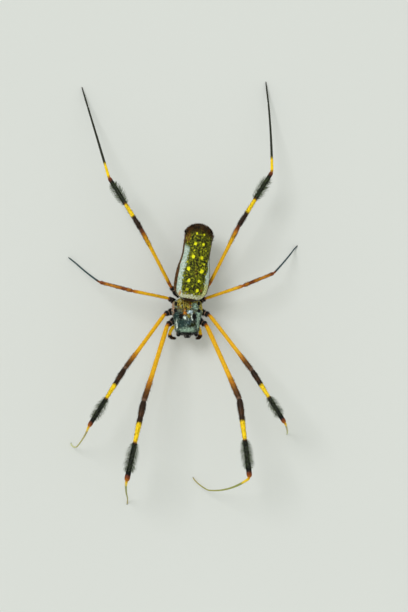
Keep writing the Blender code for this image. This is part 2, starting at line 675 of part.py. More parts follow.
def bristle_lock(collection, root, along, out, length, lean, lean_tip):
    """A flat, tapered lock from its sunk root, bent over towards the foot at its tip."""
    side = along.cross(out).normalized()
    bm = bmesh.new()
    point = root
    stations = []
    before = 0.0
    for share, width, thick in LOCK_SECTIONS:
        angle = lean + (lean_tip - lean) * (share + before) / 2
        way = out * math.sin(angle) + along * math.cos(angle)
        point = point + way * (length * (share - before))
        before = share
        across = way.cross(side)
        frame = Matrix((side * width / 2, across * thick / 2, way)).transposed().to_4x4()
        stations.append(Matrix.Translation(point * MM) @ Matrix.Scale(MM, 4) @ frame)
    base = bmesh.ops.create_circle(bm, cap_ends=True, segments=4, radius=1.0, matrix=stations[0])
    corners = base["verts"]
    for near, far in zip(stations, stations[1:]):
        corners = grow_cap(bm, corners, near is stations[0])
        bmesh.ops.transform(bm, matrix=far @ near.inverted(), verts=corners)
    tip = point + way * length * (1.0 - before)
    corners = grow_cap(bm, corners, False)
    bmesh.ops.pointmerge(bm, verts=corners, merge_co=tip * MM)
    return link_mesh("lock", bm, None, collection), tip


def clear_of(line, tip, distance):
    """True where a tip keeps a distance from a bent line."""
    nearest = min((bend_point(line, step / LINE_STEPS) - tip).length
                  for step in range(LINE_STEPS + 1))
    return nearest > distance


def make_brush(shin_object, number, line, next_line, collection):
    """Brush of bristly locks round the shin, which lean and bend towards the foot."""
    draw = random.Random(SEED + number * 10 + int(line[0].x > 0))
    start, end, rows, around, length = BRUSH[number]
    skin = LEG_RADII[number][2] * LOCK_SINK
    solid = curve_to_mesh(shin_object, collection)
    locks = []
    for row in range(rows):
        share = start + (end - start) * row / (rows - 1)
        centre = bend_point(line, share)
        along = (bend_point(line, share + 0.01) - centre).normalized()
        across = along.cross(Vector((0.0, 0.0, 1.0))).normalized()
        for index in range(around):
            stray = draw.uniform(-LOCK_STRAY, LOCK_STRAY)
            turn = 2 * math.pi * (index + 0.5 * (row % 2) + stray) / around
            out = across * math.cos(turn) + along.cross(across) * math.sin(turn)
            root = centre + out * skin + along * draw.uniform(-LOCK_STRAY, LOCK_STRAY)
            long = length * draw.uniform(0.88, 1.1)
            lean = LOCK_LEAN * draw.uniform(0.92, 1.08)
            lock, tip = bristle_lock(collection, root, along, out, long, lean, LOCK_LEAN_TIP)
            if clear_of(next_line, tip, LOCK_CLEARANCE):
                locks.append(lock)
            else:
                bpy.data.objects.remove(lock, do_unlink=True)
    join_pieces(solid, locks)


def main():
    """Build the whole spider."""
    clear_scene()
    collection = make_collection("golden_silk_orb_weaver")
    cutters = make_collection("cutters")
    make_eyes(collection, cutters)
    make_carapace(collection, cutters)
    shaped_body("sternum", make_material("sternum_shell"), collection, 14, 8, sternum_point)
    make_pedicel(collection)
    make_abdomen(collection)
    make_spinnerets(collection)
    make_jaws(collection)
    make_mouthparts(collection)
    make_palps(collection)
    materials = {"leg_" + part: make_material("leg_" + part) for part in LEG_PARTS}
    for name in LEG_POSE:
        make_leg(name, materials, collection)


main()
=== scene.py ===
"""Looks of a golden silk orb weaver: its skins, bristles, hair, eyes, jaws and claws.

Every limb is drawn out straight along +Z from rings, gets its hair there, and is then laid on its
own line in the pose. The body's shells start as balls. Sizes in the classes are in millimetres
and MM turns them to metres. +Y runs from the head to the rear, +Z up, the floor is at 0.
"""
import logging
import math
from collections.abc import Callable, Iterable, Sequence
from dataclasses import dataclass
from enum import Enum

import bpy
import numpy as np
from mathutils import Matrix, Vector


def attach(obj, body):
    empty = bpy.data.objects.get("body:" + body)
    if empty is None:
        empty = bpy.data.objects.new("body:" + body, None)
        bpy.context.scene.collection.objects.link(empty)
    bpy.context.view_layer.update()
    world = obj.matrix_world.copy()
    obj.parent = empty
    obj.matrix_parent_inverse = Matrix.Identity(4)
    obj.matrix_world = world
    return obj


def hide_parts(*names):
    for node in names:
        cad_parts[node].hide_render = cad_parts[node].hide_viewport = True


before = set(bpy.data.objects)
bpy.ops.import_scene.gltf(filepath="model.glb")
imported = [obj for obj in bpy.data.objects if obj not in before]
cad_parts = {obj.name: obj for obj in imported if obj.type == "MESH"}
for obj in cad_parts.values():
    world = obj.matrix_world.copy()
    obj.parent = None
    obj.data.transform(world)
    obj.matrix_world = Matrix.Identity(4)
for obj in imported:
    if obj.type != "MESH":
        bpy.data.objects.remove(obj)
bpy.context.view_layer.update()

LOG = logging.getLogger("orb_weaver")

MM = 0.001
BODY = "root"
SEED = 4302
GAP = 0.3
UP = Vector((0.0, 0.0, 1.0))
PATCH = 0.003
SIDES = {"left": -1, "right": 1}

# Body, as in the solids
BODY_X = 0.3
CARAPACE_REAR_Y = -1.25
CARAPACE_FRONT_Y = -10.65
CARAPACE_BASE_Z = 7.45
CARAPACE_LIP = 0.25
STERNUM_FRONT_Y = -7.3
STERNUM_REAR_Y = -0.7
STERNUM_TOP_Z = 6.65
STERNUM_BOTTOM_Z = 4.7
ABDOMEN_FRONT = Vector((0.42, -2.25))
ABDOMEN_BEARING = math.radians(9.4)
ABDOMEN_LENGTH = 19.4

Pairs = Sequence[tuple[float, float]]
Stations = Pairs
Spans = Pairs
Line = tuple[Vector, Vector, Vector]
Point = tuple[float, float, float]
Spot = tuple[float, float, float, float]
Array = np.ndarray
Piece = bpy.types.Object
Socket = bpy.types.NodeSocket
Material = bpy.types.Material

# Leg joints of the pose: femur base, knee, shin end, a point of the metatarsus's bow, ankle, foot
LEG_POSE = {
    "leg_1_left": ((-4.6, -8.2, 7.0), (-11.1, -26.9, 16.4), (-15.7, -46.4, 21.9),
                   (-15.3, -48.9, 13.0), (-14.5, -51.4, 4.6), (-14.3, -53.6, 0.15)),
    "leg_1_right": ((5.2, -8.2, 7.0), (12.7, -26.5, 15.6), (14.7, -45.7, 20.9),
                    (10.6, -49.0, 10.4), (5.9, -49.9, 3.0), (2.4, -46.8, 0.15)),
    "leg_2_left": ((-5.3, -5.5, 7.0), (-15.7, -18.9, 14.5), (-24.9, -33.1, 19.4),
                   (-25.6, -35.8, 11.5), (-27.1, -38.7, 4.2), (-28.5, -38.0, 0.15)),
    "leg_2_right": ((6.0, -5.7, 7.0), (15.9, -19.4, 14.5), (23.6, -32.4, 19.9),
                    (24.9, -33.8, 12.0), (26.0, -35.1, 4.4), (26.4, -36.1, 0.15)),
    "leg_3_left": ((-4.3, -1.5, 7.0), (-13.5, 0.3, 11.5), (-21.7, 2.5, 9.4),
                   (-24.6, 4.8, 6.0), (-27.1, 7.1, 2.7), (-29.1, 8.8, 0.15)),
    "leg_3_right": ((5.1, -1.5, 7.0), (14.0, 1.6, 11.5), (22.0, 4.8, 9.4),
                    (24.8, 7.5, 6.0), (27.2, 10.0, 2.7), (29.1, 11.9, 0.15)),
    "leg_4_left": ((-3.7, 1.4, 6.8), (-11.5, 15.4, 13.6), (-19.4, 28.5, 10.4),
                   (-21.9, 37.8, 6.2), (-24.3, 46.6, 2.4), (-25.7, 51.8, 0.15)),
    "leg_4_right": ((5.8, 1.7, 6.8), (12.6, 16.3, 13.6), (21.4, 30.1, 10.4),
                    (21.6, 39.1, 6.2), (21.4, 47.9, 2.4), (21.0, 53.5, 0.15)),
}
COXA_ROOT = {1: (1.95, -6.35, 5.75), 2: (2.3, -4.35, 5.7), 3: (2.25, -2.75, 5.7),
             4: (1.65, -1.2, 5.7)}
LEG_NODES = ("coxa", "femur", "tibia", "metatarsus", "tarsus")


class Tone(Enum):
    """Colours of the animal, as linear red, green and blue; the green tint of BRUSH and BRISTLE is
    painted backlight, light shining through dark bristles.
    """

    GOLD = (0.84, 0.45, 0.008)
    YELLOW = (1.0, 0.67, 0.006)
    AMBER = (0.60, 0.22, 0.010)
    RUST = (0.26, 0.060, 0.010)
    BROWN = (0.085, 0.030, 0.006)
    UMBER = (0.030, 0.013, 0.006)
    CHESTNUT = (0.19, 0.070, 0.010)
    BLACK = (0.006, 0.0055, 0.005)
    # BRUSH and BRISTLE: the bristles are dark; BRUSH's green tint and BRISTLE's pale green-grey are
    # painted backlight shining through them.
    BRUSH = (0.017, 0.023, 0.009)
    BRISTLE = (0.10, 0.145, 0.040)
    RUBY = (0.13, 0.030, 0.010)
    LEMON = (1.0, 0.62, 0.008)
    STRAW = (0.46, 0.38, 0.14)
    BLUSH = (0.44, 0.27, 0.19)
    CREAM = (0.68, 0.70, 0.30)
    FROST = (0.56, 0.70, 0.76)
    OLIVE = (0.22, 0.19, 0.030)
    REED = (0.30, 0.33, 0.070)
    BARK = (0.090, 0.055, 0.008)
    STEEL = (0.045, 0.080, 0.095)
    PITCH = (0.022, 0.026, 0.016)
    MEMBRANE = (0.62, 0.40, 0.20)
    SILVER = (0.29, 0.41, 0.32)
    SLATE = (0.018, 0.045, 0.042)
    FLANK = (0.62, 0.70, 0.64)
    OCHRE = (0.46, 0.36, 0.045)
    MOSS = (0.016, 0.021, 0.003)
    LEAF = (0.12, 0.14, 0.006)
    LIME = (0.46, 0.46, 0.012)
    SPOT = (0.86, 0.84, 0.012)

    @property
    def rgba(self) -> tuple[float, float, float, float]:
        """The colour with full cover."""
        return (*self.value, 1.0)


Bands = tuple[tuple[float, Tone], ...]


def smooth_value(stations: Stations, place: float) -> float:
    """Read a smooth line through stations.

    Args:
        stations: Pairs of place and value, in rising order of place.
        place: Where the value is wanted.

    Returns:
        The value there.
    """
    count = len(stations)
    index = max(i for i in range(count - 1) if stations[i][0] <= max(place, stations[0][0]))
    near = stations[index]
    far = stations[index + 1]
    before = stations[max(index - 1, 0)]
    after = stations[min(index + 2, count - 1)]
    share = min(max((place - near[0]) / (far[0] - near[0]), 0.0), 1.0)
    slope_near = (far[1] - before[1]) / (far[0] - before[0]) * (far[0] - near[0])
    slope_far = (after[1] - near[1]) / (after[0] - near[0]) * (far[0] - near[0])
    cube = share ** 3
    square = share ** 2
    return ((2 * cube - 3 * square + 1) * near[1] + (cube - 2 * square + share) * slope_near
            + (3 * square - 2 * cube) * far[1] + (cube - square) * slope_far)


def end_round(place: float, length: float, near_radius: float, far_radius: float) -> float:
    """Round off the two ends of a body.

    Args:
        place: Distance from the first end.
        length: Length of the body.
        near_radius: Length of the first rounded end.
        far_radius: Length of the other rounded end.

    Returns:
        The share of the full section that is left there.
    """
    share = 1.0
    if place < near_radius:
        share = math.sqrt(max(1.0 - (1.0 - place / near_radius) ** 2, 0.0))
    if length - place < far_radius:
        share = min(share, math.sqrt(max(1.0 - (1.0 - (length - place) / far_radius) ** 2, 0.0)))
    return share


def smooth_route(points: Sequence[Vector], steps: int) -> list[Vector]:
    """Draw a smooth line through points, with a number of steps between two of them."""
    marks = [[(i, point[axis]) for i, point in enumerate(points)] for axis in range(3)]
    count = (len(points) - 1) * steps
    return [Vector([smooth_value(mark, i / steps) for mark in marks]) for i in range(count + 1)]


class Bench:
    """Blender's modelling tools, taken up one at a time as a hand would."""

    @staticmethod
    def clear() -> None:
        """Leave edit mode and let go of everything."""
        if bpy.context.object and bpy.context.object.mode != "OBJECT":
            bpy.ops.object.mode_set(mode="OBJECT")
        bpy.ops.object.select_all(action="DESELECT")

    @staticmethod
    def take(piece: Piece) -> None:
        """Select one piece and nothing else."""
        Bench.clear()
        piece.select_set(True)
        bpy.context.view_layer.objects.active = piece

    @staticmethod
    def edit(piece: Piece) -> None:
        """Open one piece in edit mode with all of it selected."""
        Bench.take(piece)
        bpy.ops.object.mode_set(mode="EDIT")
        bpy.ops.mesh.select_all(action="SELECT")

    @staticmethod
    def close_edit() -> None:
        """Point all faces outwards and leave edit mode."""
        bpy.ops.mesh.select_all(action="SELECT")
        bpy.ops.mesh.normals_make_consistent(inside=False)
        bpy.ops.object.mode_set(mode="OBJECT")

    @staticmethod
    def modify(piece: Piece, kind: str, **choices: object) -> None:
        """Add a modifier to a piece and apply it.

        Args:
            piece: The piece.
            kind: The modifier's type.
            choices: Its settings by name.
        """
        Bench.take(piece)
        modifier = piece.modifiers.new(kind.lower(), kind)
        for key, value in choices.items():
            setattr(modifier, key, value)
        bpy.ops.object.modifier_apply(modifier=modifier.name)

    @staticmethod
    def seat(piece: Piece) -> None:
        """Put a piece's place and turn into its mesh."""
        Bench.take(piece)
        bpy.ops.object.transform_apply(location=True, rotation=True, scale=True)

    @staticmethod
    def ball(place: Vector, size: Point) -> Piece:
        """Model a ball.

        Args:
            place: Its middle, in millimetres.
            size: Its half sizes, in millimetres.

        Returns:
            The ball.
        """
        Bench.clear()
        bpy.ops.mesh.primitive_uv_sphere_add(segments=32, ring_count=20, radius=MM,
                                             location=place * MM)
        ball = bpy.context.object
        ball.scale = size
        Bench.seat(ball)
        return ball

    @staticmethod
    def join(pieces: Sequence[Piece], name: str) -> Piece:
        """Make several pieces one.

        Args:
            pieces: The pieces.
            name: Name of the joined piece.

        Returns:
            The joined piece.
        """
        Bench.take(pieces[0])
        for piece in pieces:
            piece.select_set(True)
        if len(pieces) > 1:
            bpy.ops.object.join()
        pieces[0].name = name
        return pieces[0]

    @staticmethod
    def smooth(piece: Piece) -> None:
        """Shade a piece smooth."""
        Bench.take(piece)
        bpy.ops.object.shade_smooth()

    @staticmethod
    def lay_along(pieces: Iterable[Piece], points: Sequence[Vector]) -> None:
        """Bend straight pieces, drawn out along +Z, onto a line of points.

        Args:
            pieces: The straight pieces.
            points: The line, in millimetres.
        """
        curve = bpy.data.curves.new("line", "CURVE")
        curve.dimensions = "3D"
        curve.twist_mode = "MINIMUM"
        spline = curve.splines.new("POLY")
        spline.points.add(len(points) - 1)
        for node, point in zip(spline.points, points):
            node.co = (*(point * MM), 1.0)
        line = bpy.data.objects.new("line", curve)
        bpy.context.scene.collection.objects.link(line)
        for piece in pieces:
            Bench.modify(piece, "CURVE", object=line, deform_axis="POS_Z")
        bpy.data.objects.remove(line)
        bpy.data.curves.remove(curve)


@dataclass(frozen=True)
class Ring:
    """One ring of a drawn-out skin: its place on the axis, half sizes and shift along Y."""

    at: float
    wide: float
    high: float
    shift: float = 0.0


def even_rings(widths: Stations, count: int) -> list[Ring]:
    """Space round rings evenly along a smooth line of half widths."""
    places = np.linspace(widths[0][0], widths[-1][0], count)
    return [Ring(at, smooth_value(widths, at), smooth_value(widths, at)) for at in places]


def flat_rings(widths: Stations, flatness: float) -> list[Ring]:
    """Set a ring at each of a few half widths, its height a share of its width."""
    return [Ring(at, wide, wide * flatness) for at, wide in widths]


def draw_out(name: str, rings: Sequence[Ring], sides: int, smoothing: int) -> Piece:
    """Draw a closed skin out of a disc, ring by ring along +Z.

    Args:
        name: Name of the piece.
        rings: Its rings, from the start to the end.
        sides: Sides of a ring.
        smoothing: Rounds of subdivision at the end.

    Returns:
        The straight skin.
    """
    Bench.clear()
    bpy.ops.mesh.primitive_circle_add(vertices=sides, radius=MM, fill_type="NGON")
    piece = bpy.context.object
    piece.name = name
    Bench.edit(piece)
    first = rings[0]
    bpy.ops.transform.translate(value=(0.0, first.shift * MM, first.at * MM))
    bpy.ops.transform.resize(value=(first.wide, first.high, 1.0),
                             center_override=(0.0, first.shift * MM, first.at * MM))
    for near, far in zip(rings, rings[1:]):
        step = (0.0, (far.shift - near.shift) * MM, (far.at - near.at) * MM)
        bpy.ops.mesh.extrude_region_move(TRANSFORM_OT_translate={"value": step})
        bpy.ops.transform.resize(value=(far.wide / near.wide, far.high / near.high, 1.0),
                                 center_override=(0.0, far.shift * MM, far.at * MM))
    Bench.close_edit()
    if smoothing:
        Bench.modify(piece, "SUBSURF", levels=smoothing, render_levels=smoothing)
    Bench.smooth(piece)
    return piece


def points_of(piece: Piece) -> Array:
    """The vertices of a piece, one row each, in millimetres."""
    flat = np.zeros(len(piece.data.vertices) * 3, np.float32)
    piece.data.vertices.foreach_get("co", flat)
    return flat.reshape(-1, 3).astype(float) / MM


def put_points(piece: Piece, points: Array) -> None:
    """Move the vertices of a piece to new places, given in millimetres."""
    piece.data.vertices.foreach_set("co", (points * MM).astype(np.float32).ravel())
    piece.data.update()


def mark(piece: Piece, name: str, values: Array) -> None:
    """Store one number for each vertex of a piece, under a name that materials read."""
    layer = piece.data.attributes.new(name, "FLOAT", "POINT")
    layer.data.foreach_set("value", np.asarray(values, np.float32))


def marks_of(piece: Piece, name: str) -> Array:
    """The numbers stored for the vertices of a piece under a name."""
    values = np.zeros(len(piece.data.vertices), np.float32)
    piece.data.attributes[name].data.foreach_get("value", values)
    return values.astype(float)


def unit(ways: Array) -> Array:
    """Each row of an array, made one long."""
    return ways / np.maximum(np.linalg.norm(ways, axis=1, keepdims=True), 1e-9)


@dataclass(frozen=True)
class Value:
    """A number that changes over a surface: a node's output, reckoned with by plain signs."""

    board: "NodeBoard"
    socket: Socket

    def math(self, operation: str, first: object, other: object = 0.0) -> "Value":
        """Reckon with one or two numbers."""
        node = self.board.add("Math", {0: first, 1: other}, operation=operation)
        return Value(self.board, node.outputs[0])

    def __add__(self, other: object) -> "Value":
        """Add another number."""
        return self.math("ADD", self, other)

    def __sub__(self, other: object) -> "Value":
        """Take another number away."""
        return self.math("SUBTRACT", self, other)

    def __rsub__(self, other: object) -> "Value":
        """Take this from another number."""
        return self.math("SUBTRACT", other, self)

    def __mul__(self, other: object) -> "Value":
        """Multiply with another number."""
        return self.math("MULTIPLY", self, other)

    def __truediv__(self, other: object) -> "Value":
        """Divide by another number."""
        return self.math("DIVIDE", self, other)

    def __abs__(self) -> "Value":
        """The number without its sign."""
        return self.math("ABSOLUTE", self)

    def sway(self, strength: float) -> "Value":
        """Turn a pattern of 0 to 1 to a push either way."""
        return (self - 0.5) * strength

    def fade(self, low: float, high: float) -> "Value":
        """Share that grows softly from 0 where this is low to 1 where it is high."""
        node = self.board.add("MapRange", {0: self, 1: low, 2: high, 3: 0.0, 4: 1.0},
                              interpolation_type="SMOOTHSTEP")
        return Value(self.board, node.outputs[0])

    def window(self, rise: tuple[float, float], fall: tuple[float, float]) -> "Value":
        """Share that grows over one stretch of this and goes again over the next."""
        return self.fade(*rise) * (1.0 - self.fade(*fall))


class NodeBoard:
    """The node board of one material, with its shader and short ways to add nodes."""

    def __init__(self, name: str, roughness: float, **settings: object) -> None:
        """Start a material.

        Args:
            name: Its name.
            roughness: The shader's roughness.
            settings: Other sockets of the shader by name, with _ for a space.
        """
        self.material = bpy.data.materials.new(name)
        self.material.use_nodes = True
        self.tree = self.material.node_tree
        self.shader = self.tree.nodes["Principled BSDF"]
        self.shader.inputs["Roughness"].default_value = roughness
        for key, value in settings.items():
            self.shader.inputs[key.replace("_", " ")].default_value = value

    def add(self, kind: str, feeds: dict, **choices: object) -> bpy.types.Node:
        """Add a node.

        Args:
            kind: The node's type, without its Shader Node start.
            feeds: What goes into its sockets, a value or another node's output.
            choices: Its settings by name.

        Returns:
            The node.
        """
        node = self.tree.nodes.new("ShaderNode" + kind)
        for key, value in choices.items():
            setattr(node, key, value)
        for key, value in feeds.items():
            if isinstance(value, Value):
                value = value.socket
            if isinstance(value, Socket):
                self.tree.links.new(value, node.inputs[key])
            else:
                node.inputs[key].default_value = value
        return node

    def place(self, front: Vector = Vector((0.0, 0.0)), bearing: float = 0.0) -> Socket:
        """Place on the piece in millimetres, from a front point and along a bearing.

        Args:
            front: The point that becomes 0, 0.
            bearing: Angle of the new Y axis to the right of +Y.

        Returns:
            The place as a vector.
        """
        here = self.add("TexCoord", {}).outputs["Object"]
        turned = Matrix.Rotation(bearing, 2) @ front
        return self.add("Mapping", {0: here, 1: (-turned.x, -turned.y, 0.0),
                                    2: (0.0, 0.0, bearing), 3: (1 / MM,) * 3}).outputs[0]

    def noise(self, where: Socket, size: float, detail: float = 3.0, rough: float = 0.55) -> Value:
        """Cloudy pattern from 0 to 1, its clouds a size in millimetres."""
        node = self.add("TexNoise", {"Vector": where, "Scale": 1.0 / size, "Detail": detail,
                                     "Roughness": rough})
        return Value(self, node.outputs[0])

    def mark(self, name: str) -> Value:
        """The number that a piece stores under a name."""
        return Value(self, self.add("Attribute", {}, attribute_name=name).outputs["Fac"])

    def vector(self, operation: str, first: Socket, other: Point) -> Socket:
        """Reckon with two vectors."""
        return self.add("VectorMath", {0: first, 1: other}, operation=operation).outputs[0]

    def stretch(self, share: Value, low: float, high: float) -> Socket:
        """Turn a share to a number between two others."""
        return self.add("MapRange", {0: share, 1: 0.0, 2: 1.0, 3: low, 4: high}).outputs[0]

    def mix(self, share: Value, near: object, far: object) -> Socket:
        """Blend two colours, each a Tone or an output, by the share of the second."""
        first, second = (one.rgba if isinstance(one, Tone) else one for one in (near, far))
        return self.add("Mix", {0: share, 6: first, 7: second}, data_type="RGBA").outputs[2]

    def ramp(self, value: Value, stops: Bands) -> Socket:
        """Read a colour off a line of stops.

        Args:
            value: Place on the line, 0 to 1.
            stops: Places and colours.

        Returns:
            The colour.
        """
        node = self.add("ValToRGB", {0: value})
        line = node.color_ramp.elements
        while len(line) < len(stops):
            line.new(0.5)
        for stop, (place, _) in zip(line, stops):
            stop.position = place
        for stop, (_, tone) in zip(line, stops):
            stop.color = tone.rgba
        return node.outputs[0]

    def shade(self, colour: Socket, share: Value, dark: float, bright: float) -> Socket:
        """Multiply a colour with dark where a share is 0 and with bright where it is 1."""
        factor = self.stretch(share, dark, bright)
        return self.add("VectorMath", {0: colour, "Scale": factor}, operation="SCALE").outputs[0]

    def daub(self, colour: Socket, where: Socket, ragged: Value,
             patches: Sequence["Patch"], soft: float = 0.5) -> Socket:
        """Lay soft patches of other colours over a colour.

        Args:
            colour: The colour underneath.
            where: The place, X across and Y along, in millimetres.
            ragged: Number from -1 to 1 that frays their edges.
            patches: The patches, the last on top.
            soft: How wide their edges run out.

        Returns:
            The patched colour.
        """
        flat = self.vector("MULTIPLY", where, (1.0, 1.0, 0.0))
        for patch in patches:
            away = self.vector("SUBTRACT", flat, (patch.x, patch.y, 0.0))
            away = self.vector("MULTIPLY", away, (1 / patch.across, 1 / patch.along, 0.0))
            away = self.add("VectorMath", {0: away}, operation="LENGTH").outputs["Value"]
            away = Value(self, away) + ragged
            cover = 1.0 - away.fade(1.0 - soft / 2, 1.0 + soft / 2)
            colour = self.mix(cover * patch.strength, colour, patch.tone)
        return colour

    def finish(self, colour: Socket, relief: Value, depth: float,
               roughness: tuple[Value, float, float] | None = None) -> Material:
        """Send colour, relief and roughness to the shader.

        Args:
            colour: The surface's colour.
            relief: Height of the fine relief, 0 to 1.
            depth: Height of that relief in millimetres.
            roughness: Share, lowest and highest roughness, where it changes.

        Returns:
            The material.
        """
        self.tree.links.new(colour, self.shader.inputs["Base Color"])
        bump = self.add("Bump", {"Strength": 1.0, "Distance": depth * MM, "Height": relief})
        self.tree.links.new(bump.outputs[0], self.shader.inputs["Normal"])
        if roughness:
            self.tree.links.new(self.stretch(*roughness), self.shader.inputs["Roughness"])
        return self.material


@dataclass(frozen=True)
class BandedShell:
    """Smooth shell of a limb, coloured in bands along it."""

    name: str
    bands: Bands
    reach: float
    gloss: float = 0.08
    glow: float = 0.1

    def make(self) -> Material:
        """Build the material, which reads the mark band.

        Returns:
            The material.
        """
        board = NodeBoard(self.name, 0.4, Coat_Weight=self.gloss, Coat_Roughness=0.22,
                          Subsurface_Weight=self.glow, Subsurface_Scale=0.35 * MM,
                          Subsurface_Radius=(1.0, 0.45, 0.15), Specular_IOR_Level=0.12)
        where = board.place()
        cloud = board.noise(where, 0.5, 4.0)
        grain = board.noise(where, 0.09, 3.0, 0.6)
        ragged = cloud.sway(0.035)
        share = (board.mark("band") + ragged) / self.reach
        stops = tuple((place / self.reach, tone) for place, tone in self.bands)
        colour = board.shade(board.ramp(share, stops), cloud, 0.62, 1.3)
        colour = board.shade(colour, grain, 0.82, 1.16)
        return board.finish(colour, grain, 0.03, (grain, 0.28, 0.55))


@dataclass(frozen=True)
class HairFinish:
    """Hairs or bristles of one colour that runs to another, each hair a little different."""

    name: str
    dark: Tone
    light: Tone
    patch: float
    roughness: float = 0.45
    sheen: float = 0.0

    def make(self) -> Material:
        """Build the material, which reads the mark hair and the hair's place.

        Returns:
            The material.
        """
        board = NodeBoard(self.name, self.roughness, Sheen_Weight=self.sheen,
                          Sheen_Roughness=0.4, Specular_IOR_Level=0.1)
        cloud = board.noise(board.place(), self.patch)
        colour = board.mix(cloud.fade(0.38, 0.64), self.dark, self.light)
        colour = board.shade(colour, board.mark("hair"), 0.6, 1.35)
        return board.finish(colour, cloud, 0.01)


@dataclass(frozen=True)
class PlainShell:
    """Shell of one body part, clouded between two colours."""

    name: str
    dark: Tone
    light: Tone
    cloud: float
    roughness: float
    gloss: float = 0.3
    grain: float = 0.1
    depth: float = 0.04

    def make(self) -> Material:
        """Build the material from the piece's own place.

        Returns:
            The material.
        """
        board = NodeBoard(self.name, self.roughness, Coat_Weight=self.gloss,
                          Coat_Roughness=0.2, Specular_IOR_Level=0.15)
        where = board.place()
        cloud = board.noise(where, self.cloud, 4.0)
        grain = board.noise(where, self.grain, 3.0, 0.6)
        colour = board.mix(cloud.fade(0.35, 0.7), self.dark, self.light)
        colour = board.shade(colour, grain, 0.75, 1.25)
        gloss = (grain, self.roughness * 0.75, self.roughness * 1.3)
        return board.finish(colour, grain, self.depth, gloss)


@dataclass(frozen=True)
class Patch:
    """A soft patch of colour: its place, half sizes, colour and strength."""

    x: float
    y: float
    across: float
    along: float
    tone: Tone
    strength: float = 1.0


@dataclass(frozen=True)
class AbdomenSkin:
    """Olive back with yellow spots, silver flanks, a brown margin, belly and rear end."""

    name: str
    spots: tuple[Patch, ...]
    flank_from: float = 0.205
    flank_to: float = 0.374
    flank_rim: float = 0.038
    rear_from: float = 17.6
    rear_soft: float = 2.6

    def make(self) -> Material:
        """Build the material from the piece's place and the mark girth.

        Returns:
            The material.
        """
        board = NodeBoard(self.name, 0.5, Subsurface_Weight=0.06, Subsurface_Scale=0.4 * MM,
                          Specular_IOR_Level=0.1)
        where = board.place(ABDOMEN_FRONT, ABDOMEN_BEARING)
        cloud = board.noise(where, 0.9, 4.0)
        blotch = board.noise(where, 0.5, 3.0, 0.6)
        fleck = board.noise(where, 0.34, 3.0, 0.6)
        grain = board.noise(where, 0.1, 2.0, 0.6)
        axes = board.add("SeparateXYZ", {0: where}).outputs
        across, along = (Value(board, axis) for axis in axes[:2])
        left = 1.0 - across.fade(-0.5, 0.5)
        girth = board.mark("girth") + fleck.sway(0.05)

        # The olive back and its dark middle line
        back = board.ramp((blotch + fleck * 0.6) * 0.625, (
            (0.43, Tone.MOSS), (0.465, Tone.UMBER), (0.50, Tone.LEAF), (0.55, Tone.LEAF),
            (0.60, Tone.LIME)))
        back = board.shade(back, cloud, 0.25, 1.5)
        middle = (1.0 - abs(across - 0.15).fade(0.1, 0.7)) * along.fade(3.0, 7.0)
        middle = middle * (1.0 - along.fade(11.0, 14.0))
        back = board.mix(middle * 0.25, back, Tone.UMBER)

        # The silver flanks, straw at the front of the right one
        silver = board.mix(fleck.fade(0.38, 0.6), Tone.SILVER, Tone.FLANK)
        sallow = (1.0 - left) * (1.0 - along.fade(4.2, 5.2))
        straw = board.mix(fleck.fade(0.38, 0.5), Tone.LEAF, Tone.CREAM)
        silver = board.mix(sallow, silver, straw)
        inner = (1.0 - left) * (along.fade(6.8, 8.4) + 0.35) * 0.07 + self.flank_from
        flank = (girth - inner - blotch.sway(0.22)).fade(0.0, 0.025)
        behind = along + across * 0.45 + fleck * 1.4
        colour = board.mix(flank * (1.0 - behind.fade(12.4, 13.6)), back, silver)

        # The pale front
        front = 1.0 - (along + blotch * 3.0).fade(2.7, 3.6)
        pale = board.ramp(fleck, ((0.38, Tone.OLIVE), (0.44, Tone.BLUSH), (0.49, Tone.CREAM),
                                  (0.58, Tone.FLANK)))
        colour = board.mix(front, colour, pale)

        # The brown margin and the belly with its stripe
        edge = left * along.window((1.5, 3.0), (7.6, 9.0))
        over = girth - (self.flank_to - edge * self.flank_rim)
        margin = over.fade(0.0, 0.012)
        nose = 1.0 - along.fade(0.66, 0.74)
        margin = margin.math("MAXIMUM", margin, nose)
        below = board.ramp(board.noise(where, 0.7, 4.0), ((0.35, Tone.UMBER), (0.5, Tone.BROWN),
                                                          (0.7, Tone.OLIVE)))
        stripe = girth.window((0.6, 0.64), (0.67, 0.71))
        below = board.mix(stripe * 0.7, below, Tone.LIME)
        brown = board.mix(fleck.fade(0.46, 0.6), Tone.UMBER, Tone.CHESTNUT)
        below = board.mix(over.fade(0.09, 0.18), brown, below)
        colour = board.mix(margin, colour, board.mix(nose, below, Tone.UMBER))

        # The dark rear end and the yellow spots
        rear = along + blotch * 2.6 + abs(across) * 0.3
        dusk = board.mix(fleck.fade(0.42, 0.6), Tone.UMBER, Tone.BARK)
        rear = rear.fade(self.rear_from, self.rear_from + self.rear_soft)
        colour = board.mix(rear, colour, dusk)
        spotted = board.daub(colour, where, fleck.sway(2.2), self.spots, 0.24)
        colour = board.mix(over.fade(0.02, 0.05), spotted, colour)
        colour = board.shade(colour, grain, 0.7, 1.25)
        return board.finish(colour, fleck * 0.6 + grain, 0.06, (grain, 0.38, 0.65))


